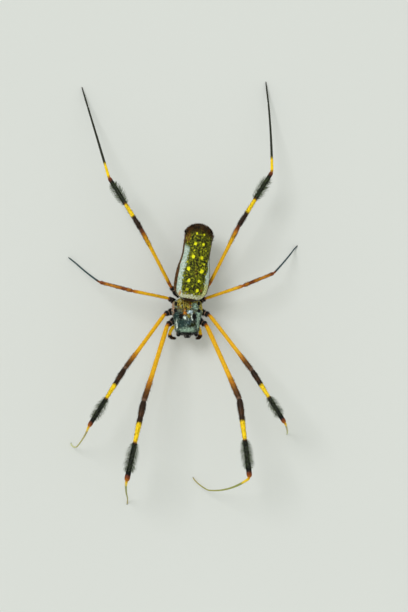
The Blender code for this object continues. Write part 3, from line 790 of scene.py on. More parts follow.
@dataclass(frozen=True)
class ShieldCloth:
    """Cloudy ground of the carapace's skin or hair with its light and dark patches."""

    name: str
    ground: Bands
    patches: tuple[Patch, ...]
    bald: tuple[Patch, ...]
    roughness: float
    hairy: bool
    sheen: float = 0.0

    def make(self) -> Material:
        """Build the material from the piece's place and, on hair, the mark hair.

        Returns:
            The material.
        """
        board = NodeBoard(self.name, self.roughness, Sheen_Weight=self.sheen,
                          Specular_IOR_Level=0.08)
        where = board.place(Vector((BODY_X, 0.0)))
        cloud = board.noise(where, 0.5, 4.0)
        fleck = board.noise(where, 0.26, 3.0, 0.7)
        tatter = cloud * 0.6 + fleck * 0.4
        colour = board.ramp(cloud, self.ground)
        ragged = tatter.sway(6.5)
        colour = board.daub(colour, where, ragged, self.patches)
        colour = board.shade(colour, fleck.fade(0.4, 0.6), 0.24, 1.75)
        colour = board.daub(colour, where, ragged * 0.06, self.bald, 0.3)
        if self.hairy:
            colour = board.shade(colour, board.mark("hair"), 0.45, 1.5)
        return board.finish(colour, fleck, 0.03)


@dataclass(frozen=True)
class EyeLens:
    """Clear black lens with a faint brown depth."""

    name: str = "eye_lens"

    def make(self) -> Material:
        """Build the material.

        Returns:
            The material.
        """
        board = NodeBoard(self.name, 0.04, Coat_Weight=1.0, Coat_Roughness=0.02,
                          Specular_IOR_Level=0.7)
        cloud = board.noise(board.place(), 0.3, 2.0)
        colour = board.mix(cloud.fade(0.4, 0.7), Tone.BLACK, Tone.UMBER)
        return board.finish(colour, cloud, 0.002)


@dataclass(frozen=True)
class FloorPaint:
    """Pale, even studio floor."""

    name: str = "pale_floor"
    dark: tuple[float, ...] = (0.695, 0.704, 0.689, 1.0)
    light: tuple[float, ...] = (0.705, 0.714, 0.699, 1.0)

    def make(self) -> Material:
        """Build the material.

        Returns:
            The material.
        """
        board = NodeBoard(self.name, 0.9, Specular_IOR_Level=0.1)
        cloud = board.noise(board.place(), 40.0, 2.0)
        paint = board.add("ValToRGB", {0: cloud})
        for stop, colour in zip(paint.color_ramp.elements, (self.dark, self.light)):
            stop.color = colour
        return board.finish(paint.outputs[0], cloud, 0.01)


class Wardrobe:
    """Makes each finish once and hands it out."""

    def __init__(self) -> None:
        """Start with nothing made."""
        self.made: dict[str, Material] = {}

    def get(self, finish: object) -> Material:
        """The material of a finish, made the first time it is asked for."""
        if finish.name not in self.made:
            self.made[finish.name] = finish.make()
        return self.made[finish.name]


WARDROBE = Wardrobe()


def dress(piece: Piece, finish: object, slot: str, *nodes: str) -> Piece:
    """Give a finished piece its material and body, and hide the CAD nodes that it replaces.

    Args:
        piece: The piece.
        finish: Its finish.
        slot: Not used.
        nodes: The CAD nodes that it replaces.

    Returns:
        The piece.
    """
    piece.data.materials.clear()
    piece.data.materials.append(WARDROBE.get(finish))
    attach(piece, BODY)
    if nodes:
        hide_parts(*nodes)
    LOG.info("%s: %d faces", piece.name, len(piece.data.polygons))
    return piece


@dataclass(frozen=True)
class Mould:
    """One hair or bristle, modelled once and copied.

    Each section has its share of the length, its share of the width and its bend down.
    """

    sides: int
    sections: tuple[Point, ...]

    def cast(self) -> tuple[Array, Array, Array]:
        """Model the hair one long and one wide.

        Returns:
            Its flesh (offsets by width), its spine (offsets by length) and its triangles.
        """
        rings = [Ring(at, wide, wide, -bend) for at, wide, bend in self.sections]
        piece = draw_out("mould", rings, self.sides, 0)
        Bench.edit(piece)
        bpy.ops.mesh.quads_convert_to_tris()
        bpy.ops.object.mode_set(mode="OBJECT")
        points = points_of(piece)
        ats = [ring.at for ring in rings]
        shift = np.interp(points[:, 2], ats, [ring.shift for ring in rings])
        spine = np.stack([np.zeros(len(points)), shift, points[:, 2]], axis=1)
        flesh = np.stack([points[:, 0], points[:, 1] - shift, np.zeros(len(points))], axis=1)
        corners = np.zeros(len(piece.data.loops), np.int32)
        piece.data.loops.foreach_get("vertex_index", corners)
        bpy.data.objects.remove(piece, do_unlink=True)
        return flesh, spine, corners.reshape(-1, 3)


# The two hairs that every coat is copied from
BRISTLE = Mould(3, ((0.0, 1.0, 0.0), (0.35, 0.9, 0.03), (0.7, 0.6, 0.11), (1.0, 0.08, 0.24)))
HAIR = Mould(3, ((0.0, 1.0, 0.0), (0.5, 0.75, 0.06), (1.0, 0.1, 0.2)))


@dataclass
class Coat:
    """Hairs copied from a mould, each with its root, its way out of the skin and its lie."""

    name: str
    mould: Mould
    roots: Array
    outs: Array
    lies: Array
    lengths: Array
    widths: Array
    leans: Array
    sheet: Array
    marks: dict[str, Array]
    sink: float = 0.03

    def grow(self) -> Piece:
        """Make the coat as one mesh of closed hairs.

        Returns:
            The coat, with the marks of its roots and a map named OFBake.
        """
        flesh, spine, triangles = self.mould.cast()
        lies = unit(self.lies - self.outs * (self.lies * self.outs).sum(1, keepdims=True))
        lean = self.leans[:, None]
        ways = lies * np.cos(lean) + self.outs * np.sin(lean)
        sides = unit(np.cross(self.outs, lies))
        backs = np.cross(ways, sides)
        local = (flesh[None] * self.widths[:, None, None] + spine[None] * self.lengths[:, None, None])
        points = ((self.roots - self.outs * self.sink)[:, None]
                  + local[:, :, 0:1] * sides[:, None] + local[:, :, 1:2] * backs[:, None]
                  + local[:, :, 2:3] * ways[:, None])
        count = len(self.roots)
        each = len(flesh)
        corners = (triangles[None] + np.arange(count)[:, None, None] * each).reshape(-1, 3)
        mesh = bpy.data.meshes.new(self.name)
        mesh.vertices.add(count * each)
        mesh.vertices.foreach_set("co", (points * MM).astype(np.float32).ravel())
        mesh.loops.add(corners.size)
        mesh.loops.foreach_set("vertex_index", corners.astype(np.int32).ravel())
        mesh.polygons.add(len(corners))
        mesh.polygons.foreach_set("loop_start", np.arange(0, corners.size, 3, dtype=np.int32))
        mesh.update(calc_edges=True)
        piece = bpy.data.objects.new(self.name, mesh)
        bpy.context.scene.collection.objects.link(piece)
        patch = np.stack([flesh[:, 0], spine[:, 2] * 2 - 1], axis=1) * PATCH / 2
        flat = (self.sheet[:, None] + patch[None]).reshape(-1, 2)
        layer = mesh.uv_layers.new(name="OFBake")
        layer.uv.foreach_set("vector", flat[corners.ravel()].astype(np.float32).ravel())
        draw = np.random.default_rng(SEED + count)
        mark(piece, "hair", np.repeat(draw.random(count), each))
        for name, values in self.marks.items():
            mark(piece, name, np.repeat(values, each))
        Bench.smooth(piece)
        return piece


@dataclass
class Roots:
    """Roots of hairs: points, ways out of the skin, places on its unwrap and marks by name."""

    points: Array
    outs: Array
    sheet: Array
    marks: dict[str, Array]

    def only(self, chosen: Array) -> "Roots":
        """The roots that an array of true and false chooses."""
        marks = {name: values[chosen] for name, values in self.marks.items()}
        return Roots(self.points[chosen], self.outs[chosen], self.sheet[chosen], marks)

    def coat(self, name: str, draw: np.random.Generator, look: Point, lies: object,
             lengths: tuple[float, float] = (0.6, 1.2),
             leans: tuple[float, float] = (0.6, 1.4)) -> Piece:
        """Grow a hair on each root.

        Args:
            name: Name of the coat.
            draw: The random source.
            look: Length, half width and lean of the hairs, the lean in degrees.
            lies: The way in which the hairs lie, one or one for each.
            lengths: Lowest and highest factor on the length.
            leans: Lowest and highest factor on the lean.

        Returns:
            The coat.
        """
        count = len(self.points)
        length, width, lean = look
        return Coat(name, HAIR, self.points, self.outs, np.broadcast_to(lies, (count, 3)),
                    length * draw.uniform(*lengths, count), np.full(count, width),
                    np.radians(lean * draw.uniform(*leans, count)), self.sheet,
                    self.marks).grow()


@dataclass
class Skin:
    """A piece on which hairs can root, with the two ends of its long axis."""

    piece: Piece
    axis_from: Array
    axis_to: Array

    def scatter(self, count: int, draw: np.random.Generator, keep: Callable[[Array], Array],
                names: Sequence[str] = ()) -> Roots:
        """Draw evenly spread roots.

        Args:
            count: How many are wanted where everything is kept.
            draw: The random source.
            keep: Gives the share of hairs to keep for an array of places.
            names: Marks of the skin to read at the roots.

        Returns:
            The roots.
        """
        mesh = self.piece.data
        mesh.calc_loop_triangles()
        flat = np.zeros(len(mesh.loop_triangles) * 3, np.int32)
        mesh.loop_triangles.foreach_get("vertices", flat)
        corners = flat.reshape(-1, 3)
        points = points_of(self.piece)
        first, second, third = (points[corners[:, i]] for i in range(3))
        facing = np.cross(second - first, third - first)
        area = np.linalg.norm(facing, axis=1)
        pick = draw.choice(len(corners), count, p=area / area.sum())
        u = draw.random(count)
        v = draw.random(count)
        turn = u + v > 1.0
        u[turn] = 1.0 - u[turn]
        v[turn] = 1.0 - v[turn]
        shares = np.stack([1.0 - u - v, u, v], axis=1)
        roots = (points[corners[pick]] * shares[:, :, None]).sum(1)
        outs = unit(facing[pick])
        stay = draw.random(count) < keep(roots)
        found = {}
        for name in names:
            values = marks_of(self.piece, name)
            found[name] = (values[corners[pick]] * shares).sum(1)[stay]
        return Roots(roots[stay], outs[stay], self.unwrap(roots[stay]), found)

    def unwrap(self, places: Array) -> Array:
        """Roll places off the piece's long axis onto a sheet.

        Args:
            places: Places on the skin.

        Returns:
            Their places on the sheet, 0 to 1 each way.
        """
        axis = self.axis_to - self.axis_from
        length = np.linalg.norm(axis)
        axis = axis / length
        side = np.cross(axis, (0.0, 0.0, 1.0))
        away = places - self.axis_from
        along = np.clip(away @ axis / length, 0.0, 1.0)
        angle = np.arctan2(away @ side, away[:, 2] - (away @ axis) * axis[2])
        return np.stack([0.01 + 0.98 * along, 0.5 + 0.98 * angle / (2 * math.pi)], axis=1)


@dataclass(frozen=True)
class LegPath:
    """The line of one leg through the pose, fillets at its joints as in the solids."""

    name: str
    femur_bow: float = 0.5
    shin_bow: float = 0.25
    coxa_sag: float = 0.45
    foot_run: float = 1.4
    heel_lift: float = 0.28
    heel_swing: float = 1.1
    end_stub: float = 0.12
    end_reach: float = 0.65
    foot_reach: float = 0.32
    fineness: int = 14
    turn_steps: int = 5
    halvings: int = 20

    @property
    def number(self) -> int:
        """The leg's number, counted from the front."""
        return int(self.name[4])

    @property
    def side(self) -> int:
        """-1 for a left leg, 1 for a right one."""
        return SIDES[self.name[6:]]

    @staticmethod
    def bend_point(line: Line, share: float) -> Vector:
        """Point at a share of a bent line."""
        start, pull, end = line
        return start * (1 - share) ** 2 + pull * (2 * share * (1 - share)) + end * share ** 2

    @staticmethod
    def start_way(line: Line) -> Vector:
        """Way in which a bent line starts."""
        return (line[1] - line[0]).normalized()

    @staticmethod
    def end_way(line: Line) -> Vector:
        """Way in which a bent line ends."""
        return (line[2] - line[1]).normalized()

    def share_at(self, line: Line, distance: float) -> float:
        """Find where a bent line is a distance from its start.

        Args:
            line: The line.
            distance: The distance.

        Returns:
            The share of the line there.
        """
        low = 0.0
        high = 1.0
        for _ in range(self.halvings):
            middle = (low + high) / 2
            if (self.bend_point(line, middle) - line[0]).length < distance:
                low = middle
            else:
                high = middle
        return low

    def lines(self) -> tuple[Line, ...]:
        """Lay out the leg's segments.

        Returns:
            The bent lines of coxa, femur, tibia, metatarsus and tarsus.
        """
        base, knee, shin, bow, ankle, foot = (Vector(joint) for joint in LEG_POSE[self.name])
        out, y, z = COXA_ROOT[self.number]
        root = Vector((BODY_X + self.side * out, y, z))
        flat = Vector((1.0, 1.0, 0.0))
        pull = bow * 2 - (shin + ankle) / 2
        way = (foot - ankle) * flat
        run = min(self.foot_run, way.length * 0.6)
        way.normalize()
        ahead = ((ankle - pull) * flat).normalized()
        aside = (ahead - way * ahead.dot(way)) * self.heel_swing
        heel = foot - way * run + aside + UP * (self.heel_lift / run)
        return ((root, (root + base) / 2 - UP * self.coxa_sag, base),
                (base, (base + knee) / 2 + UP * self.femur_bow * 2, knee),
                (knee, (knee + shin) / 2 + UP * self.shin_bow * 2, shin),
                (shin, pull, ankle),
                (ankle, heel, foot))

    def joint(self, before: Line, after: Line, thickness: float) -> tuple:
        """Round the corner between two lines.

        Args:
            before: The line that ends there.
            after: The line that starts there.
            thickness: Radius of the leg at the joint.

        Returns:
            The corner, the middle of the gap, its axis and its reach.
        """
        way_in = self.end_way(before)
        way_out = self.start_way(after)
        axis = (way_in + way_out).normalized()
        reach = self.end_reach + thickness * axis.angle(way_in) * 1.6
        return after[0], after[0] + (way_out - way_in) * reach / 4, axis, reach

    def turned_end(self, line: Line, joint: tuple, sense: int) -> tuple[list[Vector], float]:
        """Lead a segment from its joint onto its own line.

        Args:
            line: The segment's line, which starts at this joint.
            joint: The joint.
            sense: 1 at the segment's start, -1 at its end.

        Returns:
            The points of the turn and the share of the line that it takes.
        """
        corner, seat, axis, reach = joint
        axis = axis * sense
        share = self.share_at(line, reach)
        face = seat + axis * (GAP / 2)
        stub = face + axis * self.end_stub
        turn = (stub, corner + self.start_way(line) * (reach / 2), self.bend_point(line, share))
        bend = [self.bend_point(turn, i / self.turn_steps) for i in range(1, self.turn_steps + 1)]
        return [face, stub] + bend, share

    def walk(self, radii: Sequence[float]) -> tuple[list[Vector], list[tuple[float, float]]]:
        """Walk the whole leg from its root to its foot.

        Args:
            radii: Radius of the leg at its four inner joints.

        Returns:
            The points of its line, and where each segment starts and ends along it.
        """
        lines = self.lines()
        joints = [(lines[0][0], lines[0][0], self.start_way(lines[0]), self.end_reach)]
        for before, after, radius in zip(lines, lines[1:], radii):
            joints.append(self.joint(before, after, radius))
        joints.append((lines[-1][2], lines[-1][2], self.end_way(lines[-1]), self.foot_reach))
        points: list[Vector] = []
        spans = []
        travelled = 0.0
        for index, line in enumerate(lines):
            head, share_in = self.turned_end(line, joints[index], 1)
            tail, share_out = self.turned_end(line[::-1], joints[index + 1], -1)
            middle = [self.bend_point(line, share_in + (1 - share_out - share_in)
                                      * i / (self.fineness + 1))
                      for i in range(1, self.fineness + 1)]
            stretch = head + middle + tail[::-1]
            if points:
                travelled += (stretch[0] - points[-1]).length
            start = travelled
            for near, far in zip(stretch, stretch[1:]):
                travelled += (far - near).length
            points += stretch
            spans.append((start, travelled))
        return points, spans


@dataclass(frozen=True)
class LegBuild:
    """Sizes of one pair of legs, alike on both sides."""

    femur: float
    patella: float
    tibia: float
    knob: float
    metatarsus: float
    toe: float
    coxa: float
    bands: Bands
    brush: tuple[float, float] | None
    bristles: int
    long_bristles: int
    bristle_length: float

    def stations(self) -> tuple[Stations, ...]:
        """Shape the segments.

        Returns:
            For each segment, radii by share of its length.
        """
        tip = min(self.toe, 0.14)
        return (
            ((0.0, 0.62), (0.2, self.coxa * 0.85), (0.42, self.coxa), (0.62, self.coxa * 0.8),
             (0.72, self.coxa * 0.66), (0.82, self.coxa * 0.86), (1.0, self.femur)),
            ((0.0, self.femur * 0.9), (0.08, self.femur), (0.5, self.femur * 0.97),
             (0.88, (self.femur + self.patella) / 2), (0.97, self.patella * 0.92),
             (1.0, self.patella * 0.85)),
            ((0.0, self.patella * 0.85), (0.06, self.patella), (0.15, self.patella * 0.95),
             (0.2, self.patella * 0.78), (0.26, self.patella * 0.93), (0.4, self.tibia * 1.08),
             (0.5, self.tibia), (0.9, self.tibia * 1.05), (0.96, self.knob),
             (1.0, self.knob * 0.8)),
            ((0.0, self.metatarsus), (0.1, self.metatarsus * 0.88),
             (0.5, (self.metatarsus + self.toe) / 2 * 0.9), (1.0, self.toe)),
            ((0.0, self.toe * 0.95), (0.5, self.toe * 0.9), (0.9, tip), (1.0, tip * 0.85)))


DARK_BASE = ((0.0, Tone.BLACK), (0.69, Tone.BLACK), (0.71, Tone.BLUSH),
             (0.735, Tone.BLUSH), (0.75, Tone.BLACK), (0.985, Tone.BLACK),
             (1.0, Tone.RUST), (1.012, Tone.AMBER))
FRONT_LEG = DARK_BASE + (
    (1.03, Tone.GOLD), (1.67, Tone.GOLD), (1.78, Tone.AMBER), (1.87, Tone.CHESTNUT),
    (1.96, Tone.BROWN), (1.988, Tone.BROWN), (2.0, Tone.BLUSH), (2.01, Tone.UMBER),
    (2.1, Tone.UMBER), (2.195, Tone.BROWN), (2.21, Tone.UMBER), (2.275, Tone.UMBER),
    (2.295, Tone.YELLOW), (2.505, Tone.YELLOW), (2.53, Tone.RUST), (2.555, Tone.BLACK),
    (2.93, Tone.BLACK), (2.95, Tone.RUBY), (2.98, Tone.RUST), (3.0, Tone.AMBER))
LEGS = {
    1: LegBuild(0.6, 0.78, 0.55, 0.76, 0.37, 0.17, 0.95, FRONT_LEG + (
        (3.02, Tone.YELLOW), (3.16, Tone.YELLOW), (3.24, Tone.REED), (5.0, Tone.STRAW)),
        (0.525, 0.925), 1900, 760, 1.55),
    2: LegBuild(0.51, 0.66, 0.48, 0.62, 0.33, 0.17, 0.9, FRONT_LEG + (
        (3.02, Tone.YELLOW), (3.13, Tone.YELLOW), (3.24, Tone.STRAW), (5.0, Tone.CREAM)),
        (0.515, 0.915), 1500, 560, 1.35),
    3: LegBuild(0.4, 0.46, 0.38, 0.44, 0.28, 0.2, 0.75, DARK_BASE + (
        (1.04, Tone.GOLD), (1.85, Tone.GOLD), (1.95, Tone.AMBER), (2.02, Tone.RUST),
        (2.1, Tone.AMBER), (2.18, Tone.RUST), (2.3, Tone.RUST), (2.42, Tone.AMBER),
        (2.8, Tone.AMBER), (2.9, Tone.RUST), (3.0, Tone.RUST), (3.04, Tone.BROWN),
        (3.12, Tone.STEEL)), None, 0, 0, 0.0),
    4: LegBuild(0.45, 0.58, 0.46, 0.58, 0.4, 0.24, 0.8, DARK_BASE + (
        (1.07, Tone.RUST), (1.14, Tone.GOLD), (1.8, Tone.GOLD), (1.92, Tone.AMBER),
        (1.97, Tone.RUST), (2.03, Tone.UMBER), (2.24, Tone.UMBER), (2.265, Tone.YELLOW),
        (2.465, Tone.YELLOW), (2.495, Tone.RUST), (2.53, Tone.BLACK), (2.92, Tone.BLACK),
        (2.96, Tone.RUBY), (3.0, Tone.RUST), (3.02, Tone.YELLOW), (3.17, Tone.YELLOW),
        (3.21, Tone.PITCH)), (0.485, 0.915), 1500, 640, 1.5),
}
# The bristle finishes run from dark cores to green tips that are painted backlight, light shining
# through the bristles.
BRUSH_FINISH = HairFinish("brush_bristles", Tone.BLACK, Tone.BRUSH, 0.8, 0.5, 0.1)
LONG_BACKLIT_FINISH = HairFinish("long_bristles", Tone.BRUSH, Tone.BRISTLE, 0.6, 0.5, 0.2)
LEG_HAIR = HairFinish("leg_hair", Tone.BROWN, Tone.AMBER, 2.5, 0.5)
DARK_HAIR = HairFinish("dark_hair", Tone.BLACK, Tone.BROWN, 1.2, 0.5)
FLANK_HAIR = HairFinish("flank_hair", Tone.SILVER, Tone.FLANK, 0.5, 0.35, 0.15)
BACK_HAIR = HairFinish("back_hair", Tone.MOSS, Tone.LEAF, 0.4, 0.5)
TOE_HAIR = HairFinish("toe_hair", Tone.REED, Tone.STRAW, 1.2, 0.5)
CLAW_FINISH = PlainShell("claw_shell", Tone.BLACK, Tone.BROWN, 0.2, 0.25, 0.5)


@dataclass(frozen=True)
class CoatPlan:
    """One coat of a leg: where it reaches, as bands, how many hairs, their look and their finish.

    The look is the hairs' length, half width and lean, the lean in degrees.
    """

    name: str
    mould: Mould
    reach: tuple[float, float]
    count: int
    look: Point
    finish: HairFinish
    slot: str


FRONT_TOES = CoatPlan("_toe_hair", HAIR, (3.03, 4.94), 360, (0.34, 0.01, 24), TOE_HAIR, "leg_tarsus")
REAR_TOES = CoatPlan("_toe_hair", HAIR, (3.03, 4.94), 600, (0.34, 0.01, 24), DARK_HAIR, "leg_tarsus")
UPPER_COATS = (
    CoatPlan("_thigh_hair", HAIR, (1.04, 1.98), 420, (0.34, 0.014, 28), LEG_HAIR, "leg_femur"),
    CoatPlan("_knee_hair", HAIR, (2.0, 2.5), 420, (0.42, 0.016, 38), DARK_HAIR, "leg_tibia"))
COXA_COAT = CoatPlan("_coxa_hair", HAIR, (0.15, 0.95), 260, (0.4, 0.014, 35), DARK_HAIR, "leg_coxa")
SHIN_COAT = CoatPlan("_shin_hair", HAIR, (2.45, 2.97), 360, (0.4, 0.014, 34), DARK_HAIR, "leg_tibia")
KNEE_FRINGE = CoatPlan("_knee_fringe", BRISTLE, (1.72, 2.26), 520, (0.55, 0.018, 42), BRUSH_FINISH,
                       "leg_tibia")


@dataclass
class Leg:
    """One leg from its coxa to its claws: one skin, its bristles, its hair and its claws."""

    path: LegPath
    build: LegBuild
    sides: int = 14
    steps: tuple[int, ...] = (16, 20, 34, 18, 12)
    lip: float = 0.05
    last_steps: Pairs = ((0.04, 0.8), (0.07, 0.4))
    hook: tuple[Ring, ...] = (
        Ring(-0.05, 0.055, 0.07), Ring(0.08, 0.05, 0.06, -0.01), Ring(0.18, 0.036, 0.045, -0.05),
        Ring(0.25, 0.02, 0.026, -0.11), Ring(0.28, 0.006, 0.008, -0.16))
    hook_turns: Pairs = ((-0.5, 1.0), (0.5, 1.0), (0.0, 0.7))

    def rings(self, spans: Spans) -> list[Ring]:
        """Place the rings of the straight skin.

        Args:
            spans: Where each segment starts and ends.

        Returns:
            The rings, with a narrow neck of membrane between two segments.
        """
        rings = []
        before = None
        for (start, end), stations, count in zip(spans, self.build.stations(), self.steps):
            first = stations[0][1]
            if before is None:
                rings.append(Ring(start, first * 0.3, first * 0.3))
            else:
                neck = min(before, first) * 0.84
                rings.append(Ring(start - GAP * 0.62, neck, neck))
                rings.append(Ring(start - GAP * 0.38, neck, neck))
            length = end - start
            lip = min(self.lip / length, 0.01)
            shares = {0.0, 1.0, lip, 1.0 - lip}
            shares.update(i / count for i in range(1, count))
            for share in sorted(shares):
                radius = smooth_value(stations, share)
                if share in (0.0, 1.0):
                    radius *= 0.93
                rings.append(Ring(start + length * share, radius, radius))
            before = smooth_value(stations, 1.0)
        end = rings[-1]
        for step, left in self.last_steps:
            rings.append(Ring(end.at + step, end.wide * left, end.high * left))
        return rings

    @staticmethod
    def band(places: Array, spans: Spans) -> Array:
        """Segment number and share of it, for distances along the leg.

        Args:
            places: The distances.
            spans: Where each segment starts and ends.

        Returns:
            0 to 1 on the coxa, 1 to 2 on the femur, and so on.
        """
        marks = []
        values = []
        for index, (start, end) in enumerate(spans):
            marks += [start, end]
            values += [index + 0.003, index + 0.997]
        return np.interp(places, marks, values)

    def plans(self) -> list[CoatPlan]:
        """List the coats of this leg, those of its brush where it has one.

        Returns:
            The plans, in the order in which they grow.
        """
        build = self.build
        toes = FRONT_TOES if self.path.number < 3 else REAR_TOES
        plans = [*UPPER_COATS, toes, COXA_COAT]
        if not build.brush:
            return plans + [SHIN_COAT]
        start, end = build.brush
        return plans + [
            CoatPlan("_brush", BRISTLE, (2 + start, 2 + end), build.bristles,
                     (build.tibia * 1.1, 0.022, 20), BRUSH_FINISH, "leg_tibia"),
            CoatPlan("_long_brush", BRISTLE, (2 + start, 1.96 + end), build.long_bristles,
                     (build.bristle_length, 0.023, 66), LONG_BACKLIT_FINISH, "leg_tibia"),
            KNEE_FRINGE]

    def coat(self, plan: CoatPlan, rings: Sequence[Ring], spans: Spans) -> Piece:
        """Grow one coat on the straight leg.

        Args:
            plan: The coat's plan.
            rings: The skin's rings.
            spans: Where each segment starts and ends.

        Returns:
            The coat.
        """
        draw = np.random.default_rng(SEED + self.path.number * 7 + self.path.side
                                     + int(plan.reach[0] * 100) + plan.count)
        whole = np.linspace(0.0, spans[-1][1], 4000)
        start, end = np.interp(plan.reach, self.band(whole, spans), whole)
        along = draw.uniform(start, end, plan.count)
        edge = np.minimum(along - start, end - along) / max(plan.look[0], 0.3)
        return tube_coat(self.path.name + plan.name, plan.mould, rings, along, draw, plan.look,
                         0.5 + 0.5 * np.clip(edge, 0.0, 1.0), {"band": self.band(along, spans)})

    def claws(self, end: float, radius: float) -> Piece:
        """Model the claw once and set three at the leg's end.

        Args:
            end: Distance of the leg's end.
            radius: Its radius.

        Returns:
            The joined claws, straight as the leg is.
        """
        first = draw_out(self.path.name + "_claws", self.hook, 8, 1)
        made = []
        for turn, scale in self.hook_turns:
            claw = first.copy()
            claw.data = first.data.copy()
            bpy.context.scene.collection.objects.link(claw)
            claw.matrix_world = (Matrix.Translation(Vector((0.0, radius * 0.3, end)) * MM)
                                 @ Matrix.Rotation(turn, 4, "Y") @ Matrix.Scale(scale, 4))
            Bench.seat(claw)
            made.append(claw)
        bpy.data.objects.remove(first, do_unlink=True)
        return Bench.join(made, self.path.name + "_claws")

    def make(self) -> None:
        """Build the whole leg, lay it on its line and dress it."""
        name = self.path.name
        build = self.build
        points, spans = self.path.walk((build.femur, build.patella, build.knob, build.toe))
        rings = self.rings(spans)
        skin = draw_out(name + "_skin", rings, self.sides, 1)
        mark(skin, "band", self.band(points_of(skin)[:, 2], spans))
        plans = self.plans()
        coats = [self.coat(plan, rings, spans) for plan in plans]
        claws = self.claws(spans[-1][1], rings[-4].wide)
        pieces = [skin, *coats, claws]
        Bench.lay_along(pieces, points)
        for piece in pieces:
            places = points_of(piece)
            places[:, 2] = np.maximum(places[:, 2], 0.0)
            put_points(piece, places)
        shell = BandedShell(f"leg_{self.path.number}_shell", build.bands, 5.0)
        dress(skin, shell, "leg_tibia", *(f"{name}_{node}" for node in LEG_NODES))
        for coat, plan in zip(coats, plans):
            dress(coat, plan.finish, plan.slot)
        dress(claws, CLAW_FINISH, "leg_tarsus")


def tube_coat(name: str, mould: Mould, rings: Sequence[Ring], along: Array,
              draw: np.random.Generator, look: Point, scale: object,
              marks: dict[str, Array]) -> Piece:
    """Grow hairs all round a straight tube.

    Args:
        name: Name of the coat.
        mould: The hair that is copied.
        rings: The tube's rings.
        along: Each root's distance along the tube.
        draw: The random source.
        look: Length, half width and lean of the hairs, the lean in degrees.
        scale: Factor on the lengths, one or one for each hair.
        marks: Marks of the roots by name.

    Returns:
        The coat.
    """
    count = len(along)
    length, width, lean = look
    angle = draw.uniform(0.0, 2 * math.pi, count)
    radius = np.interp(along, [ring.at for ring in rings], [ring.wide for ring in rings])
    outs = np.stack([np.cos(angle), np.sin(angle), np.zeros(count)], axis=1)
    roots = outs * radius[:, None]
    roots[:, 2] = along
    sheet = np.stack([0.01 + 0.98 * along / rings[-1].at, 0.01 + 0.98 * angle / (2 * math.pi)],
                     axis=1)
    return Coat(name, mould, roots, outs, np.tile((0.0, 0.0, 1.0), (count, 1)),
                length * scale * draw.uniform(0.75, 1.15, count),
                width * draw.uniform(0.8, 1.2, count),
                np.radians(lean * draw.uniform(0.75, 1.25, count)), sheet, marks).grow()


def shaped_ball(name: str, around: int, rings: int,
                place_point: Callable[[float, float], Point]) -> tuple[Piece, Array]:
    """Start from a ball and place each of its points by share from pole to pole and angle.

    Args:
        name: Name of the piece.
        around: Its sides.
        rings: Its rings.
        place_point: Gives the place for a share and an angle.

    Returns:
        The piece and the angles of its points.
    """
    Bench.clear()
    bpy.ops.mesh.primitive_uv_sphere_add(segments=around, ring_count=rings, radius=MM)
    piece = bpy.context.object
    piece.name = name
    points = points_of(piece)
    shares = (1.0 - np.clip(points[:, 2], -1.0, 1.0)) / 2.0
    angles = np.arctan2(points[:, 1], points[:, 0])
    put_points(piece, np.array([place_point(s, a) for s, a in zip(shares, angles)]))
    Bench.edit(piece)
    Bench.close_edit()
    Bench.smooth(piece)
    return piece, angles


